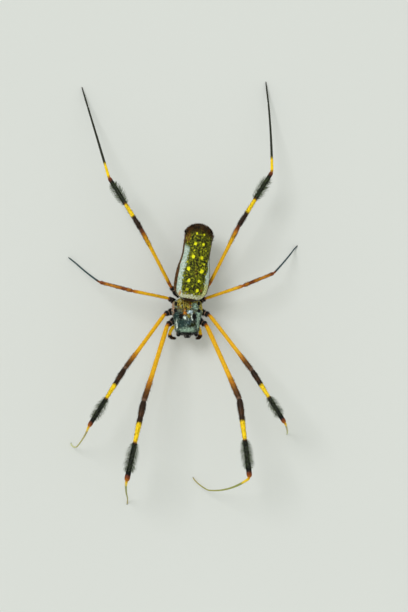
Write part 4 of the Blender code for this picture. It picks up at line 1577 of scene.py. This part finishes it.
@dataclass
class Abdomen:
    """The long abdomen with its skin, its silver flanks, its belly and its hair."""

    front_round: float = 3.2
    rear_round: float = 2.5
    roll: float = math.radians(3.0)
    hairs: int = 26000
    silver_to: float = 12.0
    rear_from: float = 17.6
    mid_z: Stations = ((0.0, 11.1), (2.7, 10.8), (6.0, 10.5), (12.0, 9.9), (19.4, 9.4))
    half_width: Stations = ((0.0, 3.9), (2.6, 4.25), (5.4, 4.35), (8.0, 4.15), (9.8, 3.75),
                            (11.6, 3.5), (13.8, 3.52), (16.9, 3.48), (19.4, 3.0))
    rise: Stations = ((0.0, 2.6), (2.7, 3.1), (6.0, 3.4), (12.0, 3.05), (16.5, 3.1), (19.4, 2.7))
    drop: Stations = ((0.0, 2.0), (2.7, 2.9), (6.0, 3.7), (12.0, 3.3), (16.5, 3.0), (19.4, 2.6))
    dimples: Pairs = ((3.6, 0.9), (6.6, 1.1), (9.3, 1.0), (12.0, 0.8), (14.6, 0.7))
    dimple_radius: float = 0.32
    dimple_depth: float = 0.12
    groove_half: float = 0.35
    groove_depth: float = 0.06
    furrow_at: float = 4.9
    furrow_half: float = 0.25
    furrow_depth: float = 0.22
    plate_at: float = 4.2
    plate_height: float = 0.35
    ripple: float = 0.02
    spots: tuple[Spot, ...] = (
        (-0.78, 16.94, 0.3, 0.9), (0.98, 16.98, 0.3, 0.9), (-0.76, 14.35, 0.42, 1.0),
        (1.22, 14.5, 0.36, 1.0), (-0.78, 12.71, 0.26, 0.6), (-0.83, 11.14, 0.5, 1.0),
        (1.35, 11.15, 0.46, 0.85), (2.2, 9.61, 0.26, 0.8), (-1.49, 7.96, 0.5, 1.0),
        (1.84, 7.82, 0.56, 1.0), (-1.02, 5.09, 0.46, 1.0), (1.48, 5.28, 0.44, 0.9),
        (-1.11, 2.82, 0.42, 0.5), (1.48, 2.87, 0.46, 1.0), (-2.05, 9.61, 0.24, 0.6),
        (0.04, 3.78, 0.24, 0.45), (0.79, 2.0, 0.22, 0.5), (2.15, 13.05, 0.2, 0.4))
    rust_marks: tuple[Patch, ...] = (
        Patch(-2.64, 1.69, 0.22, 0.6, Tone.AMBER, 0.8),
        Patch(-2.65, 15.9, 0.5, 1.5, Tone.CHESTNUT, 0.6),
        Patch(2.46, 3.05, 0.25, 0.35, Tone.RUST, 0.7), Patch(0.43, 7.19, 0.3, 1.1, Tone.BROWN, 0.35))

    def relief(self, along: float, side: float, up: float) -> float:
        """Height of the fine forms over the plain shape.

        Args:
            along: Distance from the front end.
            side: Distance to the right of the midline.
            up: Sine of the angle round the body.

        Returns:
            The height.
        """
        height = 0.0
        if up > 0:
            for place, out in self.dimples:
                away = math.hypot(along - place, abs(side - 0.2) - out)
                height -= self.dimple_depth * math.exp(-(away / self.dimple_radius) ** 2)
            height -= self.groove_depth * math.exp(-(side / self.groove_half) ** 2)
        else:
            furrow = math.exp(-((along - self.furrow_at) / self.furrow_half) ** 2)
            height -= self.furrow_depth * furrow * max(-up, 0.0)
            plate = math.exp(-((along - self.plate_at) / 0.5) ** 2 - (side / 0.8) ** 2)
            height += self.plate_height * plate
        return height + self.ripple * math.sin(along * 5.2) * (1.0 - abs(up))

    def point(self, share: float, angle: float) -> Point:
        """Place of the skin.

        Args:
            share: From the front end to the rear end.
            angle: Round the body, 0 to the right and a quarter turn up.

        Returns:
            The place in millimetres.
        """
        along = share * ABDOMEN_LENGTH
        left = end_round(along, ABDOMEN_LENGTH, self.front_round, self.rear_round)
        up = math.sin(angle)
        side = math.cos(angle) * smooth_value(self.half_width, along) * left
        height = smooth_value(self.rise if up > 0 else self.drop, along) * left
        more = self.relief(along, side, up) * left
        sine = math.sin(ABDOMEN_BEARING)
        cosine = math.cos(ABDOMEN_BEARING)
        side += math.cos(angle) * more
        x = ABDOMEN_FRONT.x + along * sine + side * cosine
        y = ABDOMEN_FRONT.y + along * cosine - side * sine
        return x, y, smooth_value(self.mid_z, along) + up * (height + more)

    def make(self) -> None:
        """Build the skin and its coats."""
        skin, angles = shaped_ball("abdomen_skin", 112, 96, self.point)
        girth = np.abs(np.angle(np.exp(1j * (angles - math.pi / 2 + self.roll)))) / math.pi
        mark(skin, "girth", girth)
        spots = tuple(Patch(x, y, size * 0.8, size * 0.95, Tone.SPOT, strength)
                      for x, y, size, strength in self.spots)
        finish = AbdomenSkin("abdomen_skin", self.rust_marks + spots)
        dress(skin, finish, "abdomen_skin", "abdomen")
        start = np.array(self.point(0.0, 0.0))
        end = np.array(self.point(1.0, 0.0))
        ground = Skin(skin, start, end)
        draw = np.random.default_rng(SEED + 50)
        back = np.array((math.sin(ABDOMEN_BEARING), math.cos(ABDOMEN_BEARING), 0.0))
        every = ground.scatter(self.hairs, draw, lambda places: np.ones(len(places)), ("girth",))
        away = every.points - np.array((*ABDOMEN_FRONT, 0.0))
        along = away @ back
        across = away @ np.array((back[1], -back[0], 0.0))
        girth = every.marks["girth"]
        count = len(along)
        rim = np.where((across < 0.0) & (along > 2.2) & (along < 8.3), 0.334, 0.37)
        rise = np.where((across > 0.0) & (along > 7.6), 0.3, 0.24)
        silver = (girth > rise) & (girth < rim) & (along + across * 0.45 < self.silver_to)
        silver = (silver & (draw.random(count) < 0.8)) | ((along < 1.3) & (along > 0.6))
        rear = along + np.abs(across) * 0.3 > self.rear_from + draw.normal(0.0, 0.8, count)
        rest = ~silver & ~rear & (draw.random(count) < 0.25)
        plans = (("flank_hair", silver & ~rear, (0.34, 0.022, 13), FLANK_HAIR),
                 ("rear_hair", rear & (draw.random(count) < 0.45), (0.62, 0.04, 50), DARK_HAIR),
                 ("back_hair", rest, (0.24, 0.01, 26), BACK_HAIR))
        for name, chosen, look, finish in plans:
            coat = every.only(chosen).coat("abdomen_" + name, draw, look,
                                           back + np.array((0.0, 0.0, -0.25)), (0.7, 1.2))
            dress(coat, finish, "abdomen_skin")


@dataclass
class Carapace:
    """The shield over head and thorax: its grooves, tubercles, eye mounds and silver hair."""

    half_width: Stations = ((0.0, 3.2), (1.8, 3.75), (3.6, 3.92), (5.2, 3.5), (6.4, 3.2),
                            (8.2, 3.1), (9.4, 2.9))
    rise: Stations = ((0.0, 0.5), (1.8, 1.5), (3.4, 2.15), (4.8, 2.15), (6.2, 2.75), (7.8, 2.85),
                      (9.4, 2.1))
    mounds: tuple[tuple[float, ...], ...] = (
        (0.0, -10.65, 8.65, 1.0, 0.8, 0.85), (-2.235, -10.45, 8.37, 0.56, 0.65, 0.62),
        (2.235, -10.45, 8.37, 0.56, 0.65, 0.62))
    bald: tuple[Spot, ...] = (
        (-2.83, -2.88, 0.28, 0.48), (2.88, -2.83, 0.28, 0.45), (-3.0, -4.5, 0.3, 0.5),
        (2.88, -4.6, 0.28, 0.42), (1.66, -6.15, 0.45, 0.68), (-1.66, -6.1, 0.4, 0.55))
    patches: tuple[Patch, ...] = (
        Patch(0.0, -2.4, 3.9, 2.1, Tone.OCHRE, 0.85), Patch(-3.6, -3.6, 0.4, 1.9, Tone.BLUSH, 0.8),
        Patch(-0.1, -2.0, 1.5, 0.7, Tone.BROWN, 0.7), Patch(3.75, -3.5, 0.3, 1.9, Tone.OCHRE, 0.9),
        Patch(-1.3, -3.2, 0.14, 1.2, Tone.UMBER, 0.9), Patch(-2.2, -3.6, 0.13, 0.8, Tone.BROWN),
        Patch(-0.7, -2.7, 0.13, 0.9, Tone.BLACK, 0.8), Patch(0.75, -3.2, 0.22, 0.8, Tone.RUST),
        Patch(1.9, -3.5, 0.8, 0.9, Tone.SILVER), Patch(-2.8, -1.65, 0.4, 0.55, Tone.FROST),
        Patch(-0.4, -4.0, 0.3, 0.55, Tone.BLACK, 0.9), Patch(1.3, -2.3, 0.6, 0.3, Tone.MOSS, 0.9),
        Patch(-2.7, -5.9, 0.6, 0.9, Tone.SLATE, 0.9), Patch(-1.6, -6.0, 0.6, 0.8, Tone.UMBER),
        Patch(0.2, -5.9, 0.45, 0.5, Tone.OLIVE, 0.8), Patch(2.75, -5.9, 0.5, 1.0, Tone.SILVER),
        Patch(0.53, -4.93, 0.62, 0.42, Tone.FROST), Patch(-0.7, -5.1, 0.38, 0.8, Tone.AMBER, 0.95),
        Patch(-0.73, -6.4, 0.5, 0.52, Tone.FLANK), Patch(1.08, -6.3, 0.22, 0.8, Tone.FLANK),
        Patch(-1.4, -7.9, 1.3, 1.2, Tone.SLATE, 0.9), Patch(0.3, -7.5, 0.7, 0.7, Tone.STEEL, 0.9),
        Patch(1.0, -8.35, 1.0, 0.75, Tone.MOSS, 0.95), Patch(0.15, -9.45, 1.8, 0.62, Tone.SILVER),
        Patch(-2.7, -8.3, 0.2, 1.4, Tone.FLANK), Patch(2.6, -7.7, 0.3, 1.3, Tone.SILVER))
    bumps: tuple[Spot, ...] = ((1.6, -6.75, 0.34, 0.62),)
    fovea_y: float = -3.9
    fovea_depth: float = 0.34
    neck_y: float = -4.75
    neck_slant: float = 0.55
    neck_half: float = 0.24
    neck_depth: float = 0.26
    ray_depth: float = 0.13
    ray_from: float = 0.4
    face_y: float = -10.0
    fineness: float = 0.085
    hairs: int = 17000

    def relief(self, side: float, y: float) -> float:
        """Height of the fine forms of the upper side.

        Args:
            side: Distance to the right of the midline.
            y: Place along the body.

        Returns:
            The height over the plain shape.
        """
        out = abs(side)
        height = 0.0
        for x_place, y_place, radius, high in self.bumps:
            away = math.hypot(out - x_place, y - y_place) / radius
            height += high * math.exp(-away ** 2)
        away = (y - self.neck_y + out * self.neck_slant) / self.neck_half
        height -= self.neck_depth * math.exp(-away ** 2) * min(out / 0.6, 1.0)
        fovea = math.exp(-(side / 0.42) ** 2 - ((y - self.fovea_y) / 0.3) ** 2)
        height -= self.fovea_depth * fovea
        if y > self.fovea_y - 1.0 and out > self.ray_from:
            turn = math.atan2(out, y - self.fovea_y)
            rays = 0.5 + 0.5 * math.cos(turn * 7.0)
            height -= self.ray_depth * rays ** 4 * min((out - self.ray_from) / 0.8, 1.0)
        return height

    def point(self, share: float, angle: float) -> Point:
        """Place of the shield.

        Args:
            share: From the rear edge to the front edge.
            angle: Round it, 0 to the right and a quarter turn up.

        Returns:
            The place in millimetres.
        """
        length = CARAPACE_REAR_Y - CARAPACE_FRONT_Y
        along = share * length
        left = end_round(along, length, 1.5, 1.2)
        side = math.cos(angle) * smooth_value(self.half_width, along) * left
        rise = smooth_value(self.rise, along) * end_round(along, length, 1.2, 1.6)
        lift = abs(math.sin(angle)) ** 0.85
        y = CARAPACE_REAR_Y - along
        if math.sin(angle) > 0:
            cover = min(lift * 2.0, 1.0) * min(left * 1.5, 1.0)
            height = lift * rise + self.relief(side, y) * cover
        else:
            height = -lift * CARAPACE_LIP * left
        return BODY_X + side, y, CARAPACE_BASE_Z + height

    def keep(self, places: Array) -> Array:
        """Thin out the hairs: none under the shield and on its bald spots, few on the face.

        Args:
            places: Places of the hairs.

        Returns:
            The share of them to keep.
        """
        share = np.where(places[:, 2] > CARAPACE_BASE_Z + 0.1, 1.0, 0.0)
        for x_place, y_place, across, along in self.bald:
            away = np.hypot((places[:, 0] - BODY_X - x_place) / (across + 0.06),
                            (places[:, 1] - y_place + 0.08) / (along + 0.12))
            share = np.where(away < 1.0, 0.0, share)
        return np.where(places[:, 1] < self.face_y, share * 0.05, share)

    def raise_mounds(self, shell: Piece) -> Piece:
        """Fuse the mounds of the eyes into the shield.

        Args:
            shell: The plain shield.

        Returns:
            The shield with its mounds, one closed skin.
        """
        parts = [shell]
        for side, y, z, wide, deep, high in self.mounds:
            parts.append(Bench.ball(Vector((BODY_X + side, y, z)), (wide, deep, high)))
        shell = Bench.join(parts, "carapace_shell")
        zoom = 1.0 / MM
        put_points(shell, points_of(shell) * zoom)
        Bench.modify(shell, "REMESH", mode="VOXEL", voxel_size=self.fineness)
        Bench.modify(shell, "SMOOTH", factor=0.5, iterations=4)
        put_points(shell, points_of(shell) / zoom)
        Bench.smooth(shell)
        return shell

    def make(self) -> None:
        """Build the shield and its coats."""
        shell = self.raise_mounds(shaped_ball("carapace_plain", 128, 96, self.point)[0])
        black = tuple(Patch(x, y, across * 1.25, along * 1.15, Tone.BLACK)
                      for x, y, across, along in self.bald)
        front = (Patch(0.0, self.face_y - 1.0, 3.8, 1.0, Tone.BLACK),)
        finish = ShieldCloth("carapace_shell", ((0.35, Tone.UMBER), (0.65, Tone.SLATE)),
                             self.patches, black + front, 0.42, False)
        dress(shell, finish, "carapace_shell", "carapace")
        start = np.array((BODY_X, CARAPACE_REAR_Y, CARAPACE_BASE_Z))
        end = np.array((BODY_X, CARAPACE_FRONT_Y, CARAPACE_BASE_Z))
        ground = Skin(shell, start, end)
        draw = np.random.default_rng(SEED + 60)
        roots = ground.scatter(self.hairs, draw, self.keep)
        lies = np.array((BODY_X, self.fovea_y, CARAPACE_BASE_Z + 2.0)) - roots.points
        lies[:, 1] += 1.5
        coat = roots.coat("carapace_hair", draw, (0.34, 0.024, 14), lies, (0.7, 1.2), (0.5, 1.6))
        cloth = ShieldCloth("carapace_hair", ((0.42, Tone.SLATE), (0.55, Tone.SILVER),
                                              (0.68, Tone.FLANK)), self.patches, black, 0.45,
                            True, 0.05)
        dress(coat, cloth, "carapace_shell")


@dataclass
class Eyes:
    """Eight eyes, four in the middle and a pair at each side, each in a raised ring."""

    radius: float = 0.26
    places: tuple[tuple[str, float, float, float], ...] = (
        ("front_median", 0.45, -11.22, 8.25), ("rear_median", 0.5, -10.85, 9.22),
        ("front_lateral", 2.35, -10.8, 8.15), ("rear_lateral", 2.52, -10.3, 8.68))
    depth: float = 0.14
    head: Point = (0.0, -9.2, 7.9)
    splay: float = 0.35
    rim: float = 0.05
    rim_radius: float = 0.085
    rim_sink: float = 0.02

    def make(self) -> None:
        """Build each eye as a bulging lens and all their rings as one piece."""
        rings = []
        for kind, offset, y, z in self.places:
            for side_name, side in SIDES.items():
                place = Vector((BODY_X + side * offset, y, z))
                middle = Vector((BODY_X + side * offset * self.splay, *self.head[1:]))
                out = (place - middle).normalized()
                turn = out.to_track_quat("Z", "Y").to_euler()
                Bench.clear()
                bpy.ops.mesh.primitive_uv_sphere_add(segments=32, ring_count=20,
                                                     radius=self.radius * MM,
                                                     location=place * MM, rotation=turn)
                eye = bpy.context.object
                eye.name = f"lens_{kind}_{side_name}"
                Bench.edit(eye)
                bpy.ops.mesh.bisect(plane_co=(place - out * self.depth) * MM, plane_no=out,
                                    use_fill=True, clear_inner=True)
                Bench.close_edit()
                Bench.seat(eye)
                Bench.smooth(eye)
                dress(eye, EyeLens(), "eye_black", f"eye_{kind}_{side_name}")
                Bench.clear()
                bpy.ops.mesh.primitive_torus_add(location=(place - out * self.rim_sink) * MM,
                                                 rotation=turn, major_segments=32,
                                                 minor_segments=10,
                                                 major_radius=(self.radius + self.rim) * MM,
                                                 minor_radius=self.rim_radius * MM)
                ring = bpy.context.object
                Bench.seat(ring)
                rings.append(ring)
        joined = Bench.join(rings, "eye_rings")
        Bench.smooth(joined)
        dress(joined, PlainShell("eye_ring_shell", Tone.BLACK, Tone.UMBER, 0.3, 0.35), "carapace_shell")


@dataclass
class Jaws:
    """The two jaws with their fangs and bristles."""

    spread: float = 1.2
    top_y: float = -9.65
    radius: Stations = ((0.0, 0.55), (0.3, 0.6), (0.75, 0.9), (1.55, 1.0), (2.45, 0.94),
                        (3.25, 0.74), (3.6, 0.5), (3.72, 0.2))
    fang_radius: Stations = ((0.0, 0.2), (0.2, 0.3), (0.5, 0.29), (0.9, 0.25), (1.3, 0.19),
                             (1.7, 0.12), (2.05, 0.05), (2.12, 0.02))
    route: tuple[Point, ...] = (
        (0.0, 0.05, 0.3), (0.0, 0.0, 0.0), (0.02, -0.12, -0.4), (0.0, -0.18, -1.2),
        (-0.05, -0.14, -2.1), (-0.1, 0.0, -2.9), (-0.12, 0.15, -3.3))
    fang_route: tuple[Point, ...] = (
        (0.25, -0.1, -2.6), (0.3, -0.1, -2.85), (0.5, -0.15, -3.35), (0.15, -0.05, -3.8),
        (-0.45, 0.2, -3.95))
    hairs: int = 420
    hair_look: Point = (0.45, 0.014, 30)
    hair_reach: tuple[float, float] = (0.5, 3.5)

    @staticmethod
    def course(root: Vector, side: int, route: Sequence[Point]) -> list[Vector]:
        """Points at offsets from a root, each X towards the jaw's own side."""
        return [root + Vector((side * x, y, z)) for x, y, z in route]

    def make(self) -> None:
        """Build both jaws."""
        shell = PlainShell("jaw_shell", Tone.BLACK, Tone.BLACK, 0.5, 0.5, 0.05, 0.12, 0.03)
        fang_shell = PlainShell("fang_shell", Tone.BLACK, Tone.RUST, 0.6, 0.15, 0.8, 0.1, 0.01)
        for side_name, side in SIDES.items():
            top = Vector((BODY_X + side * self.spread, self.top_y,
                          CARAPACE_BASE_Z - CARAPACE_LIP - GAP))
            line = smooth_route(self.course(top, side, self.route), 4)
            rings = even_rings(self.radius, 26)
            jaw = draw_out(f"jaw_{side_name}", rings, 20, 1)
            draw = np.random.default_rng(SEED + 70 + side)
            along = draw.uniform(*self.hair_reach, self.hairs)
            hair = tube_coat(f"jaw_{side_name}_hair", HAIR, rings, along, draw, self.hair_look,
                             1.0, {})
            Bench.lay_along([jaw, hair], line)
            dress(jaw, shell, "jaw_black", f"chelicera_{side_name}")
            dress(hair, DARK_HAIR, "jaw_black")
            fang_line = smooth_route(self.course(top, side, self.fang_route), 5)
            fang = draw_out(f"fang_{side_name}", flat_rings(self.fang_radius, 0.9), 14, 2)
            Bench.lay_along([fang], fang_line)
            dress(fang, fang_shell, "jaw_black")


PALP_SHELL = BandedShell("palp_shell", (
    (0.0, Tone.UMBER), (0.1, Tone.LEMON), (0.52, Tone.LEMON), (0.57, Tone.AMBER),
    (0.61, Tone.BLACK), (1.0, Tone.BLACK)), 1.0)


@dataclass
class Palps:
    """The two palps, yellow with a black, hairy end that curls in before the jaws."""

    spread: tuple[float, float] = (0.95, 0.6)
    out: Stations = ((0.0, 0.0), (0.2, 0.95), (0.45, 1.6), (0.7, 1.95), (0.88, 1.4), (1.0, 0.3))
    ahead: Stations = ((0.0, 0.0), (0.2, 0.3), (0.45, 1.1), (0.7, 2.2), (0.88, 3.0), (1.0, 3.15))
    up: Stations = ((0.0, 0.0), (0.2, 0.15), (0.45, 0.45), (0.7, 0.4), (0.88, -0.1), (1.0, -0.7))
    radius: Stations = ((0.0, 0.4), (0.06, 0.42), (0.27, 0.47), (0.31, 0.38), (0.35, 0.45),
                        (0.46, 0.44), (0.5, 0.37), (0.54, 0.46), (0.62, 0.47), (0.66, 0.36),
                        (0.7, 0.36), (0.84, 0.24), (0.96, 0.14), (1.0, 0.07))

    root: Point = (2.35, -8.4, 5.45)
    hairs: int = 900
    hair_look: Point = (0.5, 0.013, 34)
    dense_from: float = 0.58

    def make(self) -> None:
        """Build both palps."""
        for side_name, side in SIDES.items():
            root = Vector((BODY_X + side * self.root[0], *self.root[1:]))
            line = []
            for share in np.linspace(0.0, 1.0, 41):
                out, ahead, rise = (smooth_value(one, share)
                                    for one in (self.out, self.ahead, self.up))
                line.append(root + Vector((side * out * self.spread[side > 0], -ahead, rise)))
            length = sum((far - near).length for near, far in zip(line, line[1:]))
            rings = [Ring(ring.at * length, ring.wide, ring.high)
                     for ring in even_rings(self.radius, 60)]
            skin = draw_out(f"palp_{side_name}_skin", rings, 14, 1)
            mark(skin, "band", points_of(skin)[:, 2] / length)
            draw = np.random.default_rng(SEED + 80 + side)
            share = draw.beta(4.0, 1.5, self.hairs) * 0.96
            hair = tube_coat(f"palp_{side_name}_hair", HAIR, rings, share * length, draw,
                             self.hair_look, np.where(share > self.dense_from, 1.0, 0.3),
                             {"band": share})
            Bench.lay_along([skin, hair], line)
            dress(skin, PALP_SHELL, "palp_yellow", f"palp_{side_name}")
            dress(hair, DARK_HAIR, "palp_yellow")


@dataclass
class Underside:
    """What lies below the carapace: the side wall, the breast plate, lip, lobes and waist."""

    plate_width: Stations = ((0.0, 0.7), (1.2, 1.25), (3.0, 1.85), (4.6, 1.6), (5.8, 1.15),
                             (6.6, 0.9))
    plate_humps: Pairs = ((1.1, -6.1), (1.5, -4.3), (1.45, -2.8), (0.9, -1.5))
    plate_hairs: int = 3000
    wall_length: float = 8.2
    wall_rear: float = -1.9
    wall_z: float = 6.85
    wall_half: float = 0.7
    wall_width: Stations = ((0.0, 1.9), (2.0, 2.9), (4.0, 2.9), (6.0, 2.3), (8.2, 2.1))
    lip_size: Point = (0.6, 0.42, 0.8)
    lobe_size: Point = (0.62, 0.42, 0.95)
    lobe_out: float = 0.75
    waist_radius: Stations = ((0.0, 0.35), (0.4, 0.5), (0.8, 0.42), (1.2, 0.5), (1.5, 0.4),
                              (1.9, 0.52), (2.6, 0.6), (3.0, 0.5))

    def plate_point(self, share: float, angle: float) -> Point:
        """Place of the breast plate's surface.

        Args:
            share: From its rear to its front.
            angle: Round it.

        Returns:
            The place in millimetres.
        """
        length = STERNUM_REAR_Y - STERNUM_FRONT_Y
        along = share * length
        left = end_round(along, length, 0.8, 0.8)
        side = math.copysign(abs(math.cos(angle)) ** 0.6, math.cos(angle))
        lift = math.copysign(abs(math.sin(angle)) ** 0.6, math.sin(angle))
        half = (STERNUM_TOP_Z - STERNUM_BOTTOM_Z) / 2
        x = side * smooth_value(self.plate_width, along) * left
        y = STERNUM_REAR_Y - along
        z = STERNUM_BOTTOM_Z + half + lift * half * left
        if lift < 0:
            for out, place in self.plate_humps:
                away = math.hypot(abs(x) - out, y - place) / 0.45
                z -= 0.16 * math.exp(-away ** 2)
        return BODY_X + x, y, z

    def wall_point(self, share: float, angle: float) -> Point:
        """Place of the soft wall between the carapace and the legs.

        Args:
            share: From its rear to its front.
            angle: Round it.

        Returns:
            The place in millimetres.
        """
        along = share * self.wall_length
        left = end_round(along, self.wall_length, 2.0, 1.2)
        width = smooth_value(self.wall_width, along)
        return (BODY_X + math.cos(angle) * width * left, self.wall_rear - along,
                self.wall_z + math.sin(angle) * self.wall_half * left)

    def make(self) -> None:
        """Build the plate, the wall, the mouth parts and the waist."""
        shell = PlainShell("breast_shell", Tone.UMBER, Tone.BROWN, 0.7, 0.38, 0.3)
        plate, _ = shaped_ball("breast_plate", 64, 48, self.plate_point)
        dress(plate, shell, "sternum_shell", "sternum")
        wall, _ = shaped_ball("side_wall", 48, 32, self.wall_point)
        dress(wall, PlainShell("soft_wall", Tone.BROWN, Tone.MEMBRANE, 0.6, 0.6, 0.0),
              "sternum_shell")
        ground = Skin(plate, np.array((BODY_X, STERNUM_REAR_Y, 5.7)),
                      np.array((BODY_X, STERNUM_FRONT_Y, 5.7)))
        draw = np.random.default_rng(SEED + 90)
        roots = ground.scatter(self.plate_hairs, draw,
                               lambda places: np.where(places[:, 2] < 5.6, 0.5, 0.0))
        coat = roots.coat("breast_hair", draw, (0.4, 0.014, 30), (0.0, 1.0, 0.0))
        dress(coat, DARK_HAIR, "sternum_shell")
        self.mouth()
        self.waist()

    def mouth(self) -> None:
        """Build the lip and the lobe on each side of it."""
        top = STERNUM_FRONT_Y - GAP
        parts = []
        for side, size in ((0.0, self.lip_size), (-self.lobe_out, self.lobe_size),
                           (self.lobe_out, self.lobe_size)):
            place = Vector((BODY_X + side, top - 0.5 - abs(side) * 0.1, 5.55 + abs(side) * 0.07))
            part = Bench.ball(place, size)
            Bench.edit(part)
            bpy.ops.mesh.bisect(plane_co=(place - UP * 0.4) * MM, plane_no=(0.0, 0.15, 1.0))
            Bench.close_edit()
            parts.append(part)
        lobes = Bench.join(parts, "mouth_lobes")
        Bench.smooth(lobes)
        dress(lobes, PlainShell("mouth_shell", Tone.UMBER, Tone.RUST, 0.6, 0.35), "mouth_brown",
              "mouthparts")

    def waist(self) -> None:
        """Build the thin waist as a ringed tube."""
        line = smooth_route([Vector((BODY_X, CARAPACE_REAR_Y - 0.5, CARAPACE_BASE_Z - 0.1)),
                             Vector((BODY_X, CARAPACE_REAR_Y + GAP, CARAPACE_BASE_Z)),
                             Vector((BODY_X + 0.1, CARAPACE_REAR_Y + 0.75, CARAPACE_BASE_Z + 0.05)),
                             Vector((1.15, 0.35, 7.95)), Vector((1.3, 0.5, 8.8))], 6)
        tube = draw_out("waist", even_rings(self.waist_radius, 30), 18, 1)
        Bench.lay_along([tube], line)
        dress(tube, PlainShell("waist_shell", Tone.UMBER, Tone.BROWN, 0.4, 0.4), "sternum_shell",
              "pedicel")


@dataclass
class Spinnerets:
    """Six spinnerets in a ring under the abdomen's rear, each of two joints, with fine hair."""

    cones: tuple[Point, ...] = ((-0.4, 0.45, 1.0), (0.45, 0.4, 0.9), (0.05, 0.2, 0.6))
    cone_radius: Stations = ((0.0, 0.3), (0.3, 0.37), (0.6, 0.34), (0.66, 0.25), (0.7, 0.3),
                             (0.88, 0.24), (0.97, 0.14), (1.0, 0.05))
    collar_radius: Stations = ((-0.4, 0.9), (0.0, 1.08), (0.25, 1.02), (0.45, 0.85), (0.62, 0.5))
    hairs: int = 1500

    def make(self, abdomen: Abdomen) -> None:
        """Build the cones and the low ring that carries them.

        Args:
            abdomen: The abdomen that they hang from.
        """
        base = Vector(abdomen.point(0.83, -math.pi / 2)) - UP * GAP
        shell = PlainShell("spinneret_shell", Tone.UMBER, Tone.BROWN, 0.3, 0.45, 0.2)
        collar = draw_out("spinneret_collar", flat_rings(self.collar_radius, 0.9), 20, 2)
        Bench.lay_along([collar], [base, base - UP * 0.5, base - UP])
        parts = [collar]
        for ahead, out, size in self.cones:
            for side in SIDES.values():
                root = base + Vector((side * out, ahead, -0.2))
                tip = root + Vector((side * 0.1, 0.5 + ahead * 0.6, -1.45 * size))
                length = (tip - root).length
                rings = [Ring(share * length, radius * size, radius * size)
                         for share, radius in self.cone_radius]
                cone = draw_out("cone", rings, 14, 2)
                Bench.lay_along([cone], [root, (root + tip) / 2, tip])
                parts.append(cone)
        joined = Bench.join(parts, "spinneret_group")
        Bench.smooth(joined)
        dress(joined, shell, "spinneret_brown", "spinnerets")
        low = float(base.z) - 0.2
        ground = Skin(joined, np.array(base), np.array(base - UP * 1.8))
        draw = np.random.default_rng(SEED + 95)
        roots = ground.scatter(self.hairs, draw,
                               lambda places: np.where(places[:, 2] < low, 0.8, 0.1))
        coat = roots.coat("spinneret_hair", draw, (0.3, 0.011, 28), (0.0, 0.25, -1.0))
        dress(coat, DARK_HAIR, "spinneret_brown")


@dataclass
class Studio:
    """Pale floor, soft light and the photo's camera."""

    target: Point = (4.45, -3.43, 9.0)
    distance: float = 640.0
    tilt: float = math.radians(5.0)
    focal_pixels: float = 2560.0
    long_side_pixels: float = 612.0
    sensor: float = 36.0
    room: tuple[float, float, float, float] = (0.70, 0.73, 0.68, 1.0)
    room_strength: float = 1.0
    light_strength: float = 1.15
    light_angle: float = math.radians(24.0)
    light_from: Point = (-0.5, 0.45, 1.0)

    def floor(self) -> None:
        """Lay the floor under the feet."""
        Bench.clear()
        bpy.ops.mesh.primitive_circle_add(vertices=96, radius=12.0, fill_type="TRIFAN")
        floor = bpy.context.object
        floor.name = "floor"
        floor.data.materials.append(WARDROBE.get(FloorPaint()))

    def lights(self) -> None:
        """Set a pale room and one wide soft light from the upper left."""
        world = bpy.data.worlds.new("pale_room")
        world.use_nodes = True
        shade = world.node_tree.nodes["Background"]
        shade.inputs["Color"].default_value = self.room
        shade.inputs["Strength"].default_value = self.room_strength
        bpy.context.scene.world = world
        bpy.context.scene.view_settings.view_transform = "Standard"
        light = bpy.data.lights.new("window", "SUN")
        light.energy = self.light_strength
        light.angle = self.light_angle
        lamp = bpy.data.objects.new("window", light)
        lamp.rotation_euler = Vector(self.light_from).to_track_quat("Z", "Y").to_euler()
        bpy.context.scene.collection.objects.link(lamp)

    def camera(self) -> None:
        """Set the camera over the spider's back, tipped as in the photo."""
        camera = bpy.data.cameras.new("camera")
        camera.sensor_width = self.sensor
        camera.lens = self.sensor * self.focal_pixels / self.long_side_pixels
        camera.clip_start = 0.01
        camera.clip_end = 50.0
        holder = bpy.data.objects.new("camera", camera)
        back = Vector((-math.sin(self.tilt), 0.0, math.cos(self.tilt)))
        right = Vector((math.cos(self.tilt), 0.0, math.sin(self.tilt)))
        turn = Matrix((right, Vector((0.0, 1.0, 0.0)), back)).transposed()
        place = (Vector(self.target) + back * self.distance) * MM
        holder.matrix_world = Matrix.Translation(place) @ turn.to_4x4()
        bpy.context.scene.collection.objects.link(holder)
        bpy.context.scene.camera = holder

    def make(self) -> None:
        """Set up the whole studio."""
        self.floor()
        self.lights()
        self.camera()


def main() -> None:
    """Build the spider part by part and then its studio."""
    logging.basicConfig(level=logging.INFO, format="%(message)s")
    abdomen = Abdomen()
    abdomen.make()
    Carapace().make()
    Eyes().make()
    Jaws().make()
    Palps().make()
    Underside().make()
    Spinnerets().make(abdomen)
    for name in LEG_POSE:
        path = LegPath(name)
        Leg(path, LEGS[path.number]).make()
    Studio().make()


if __name__ == "__main__":
    main()
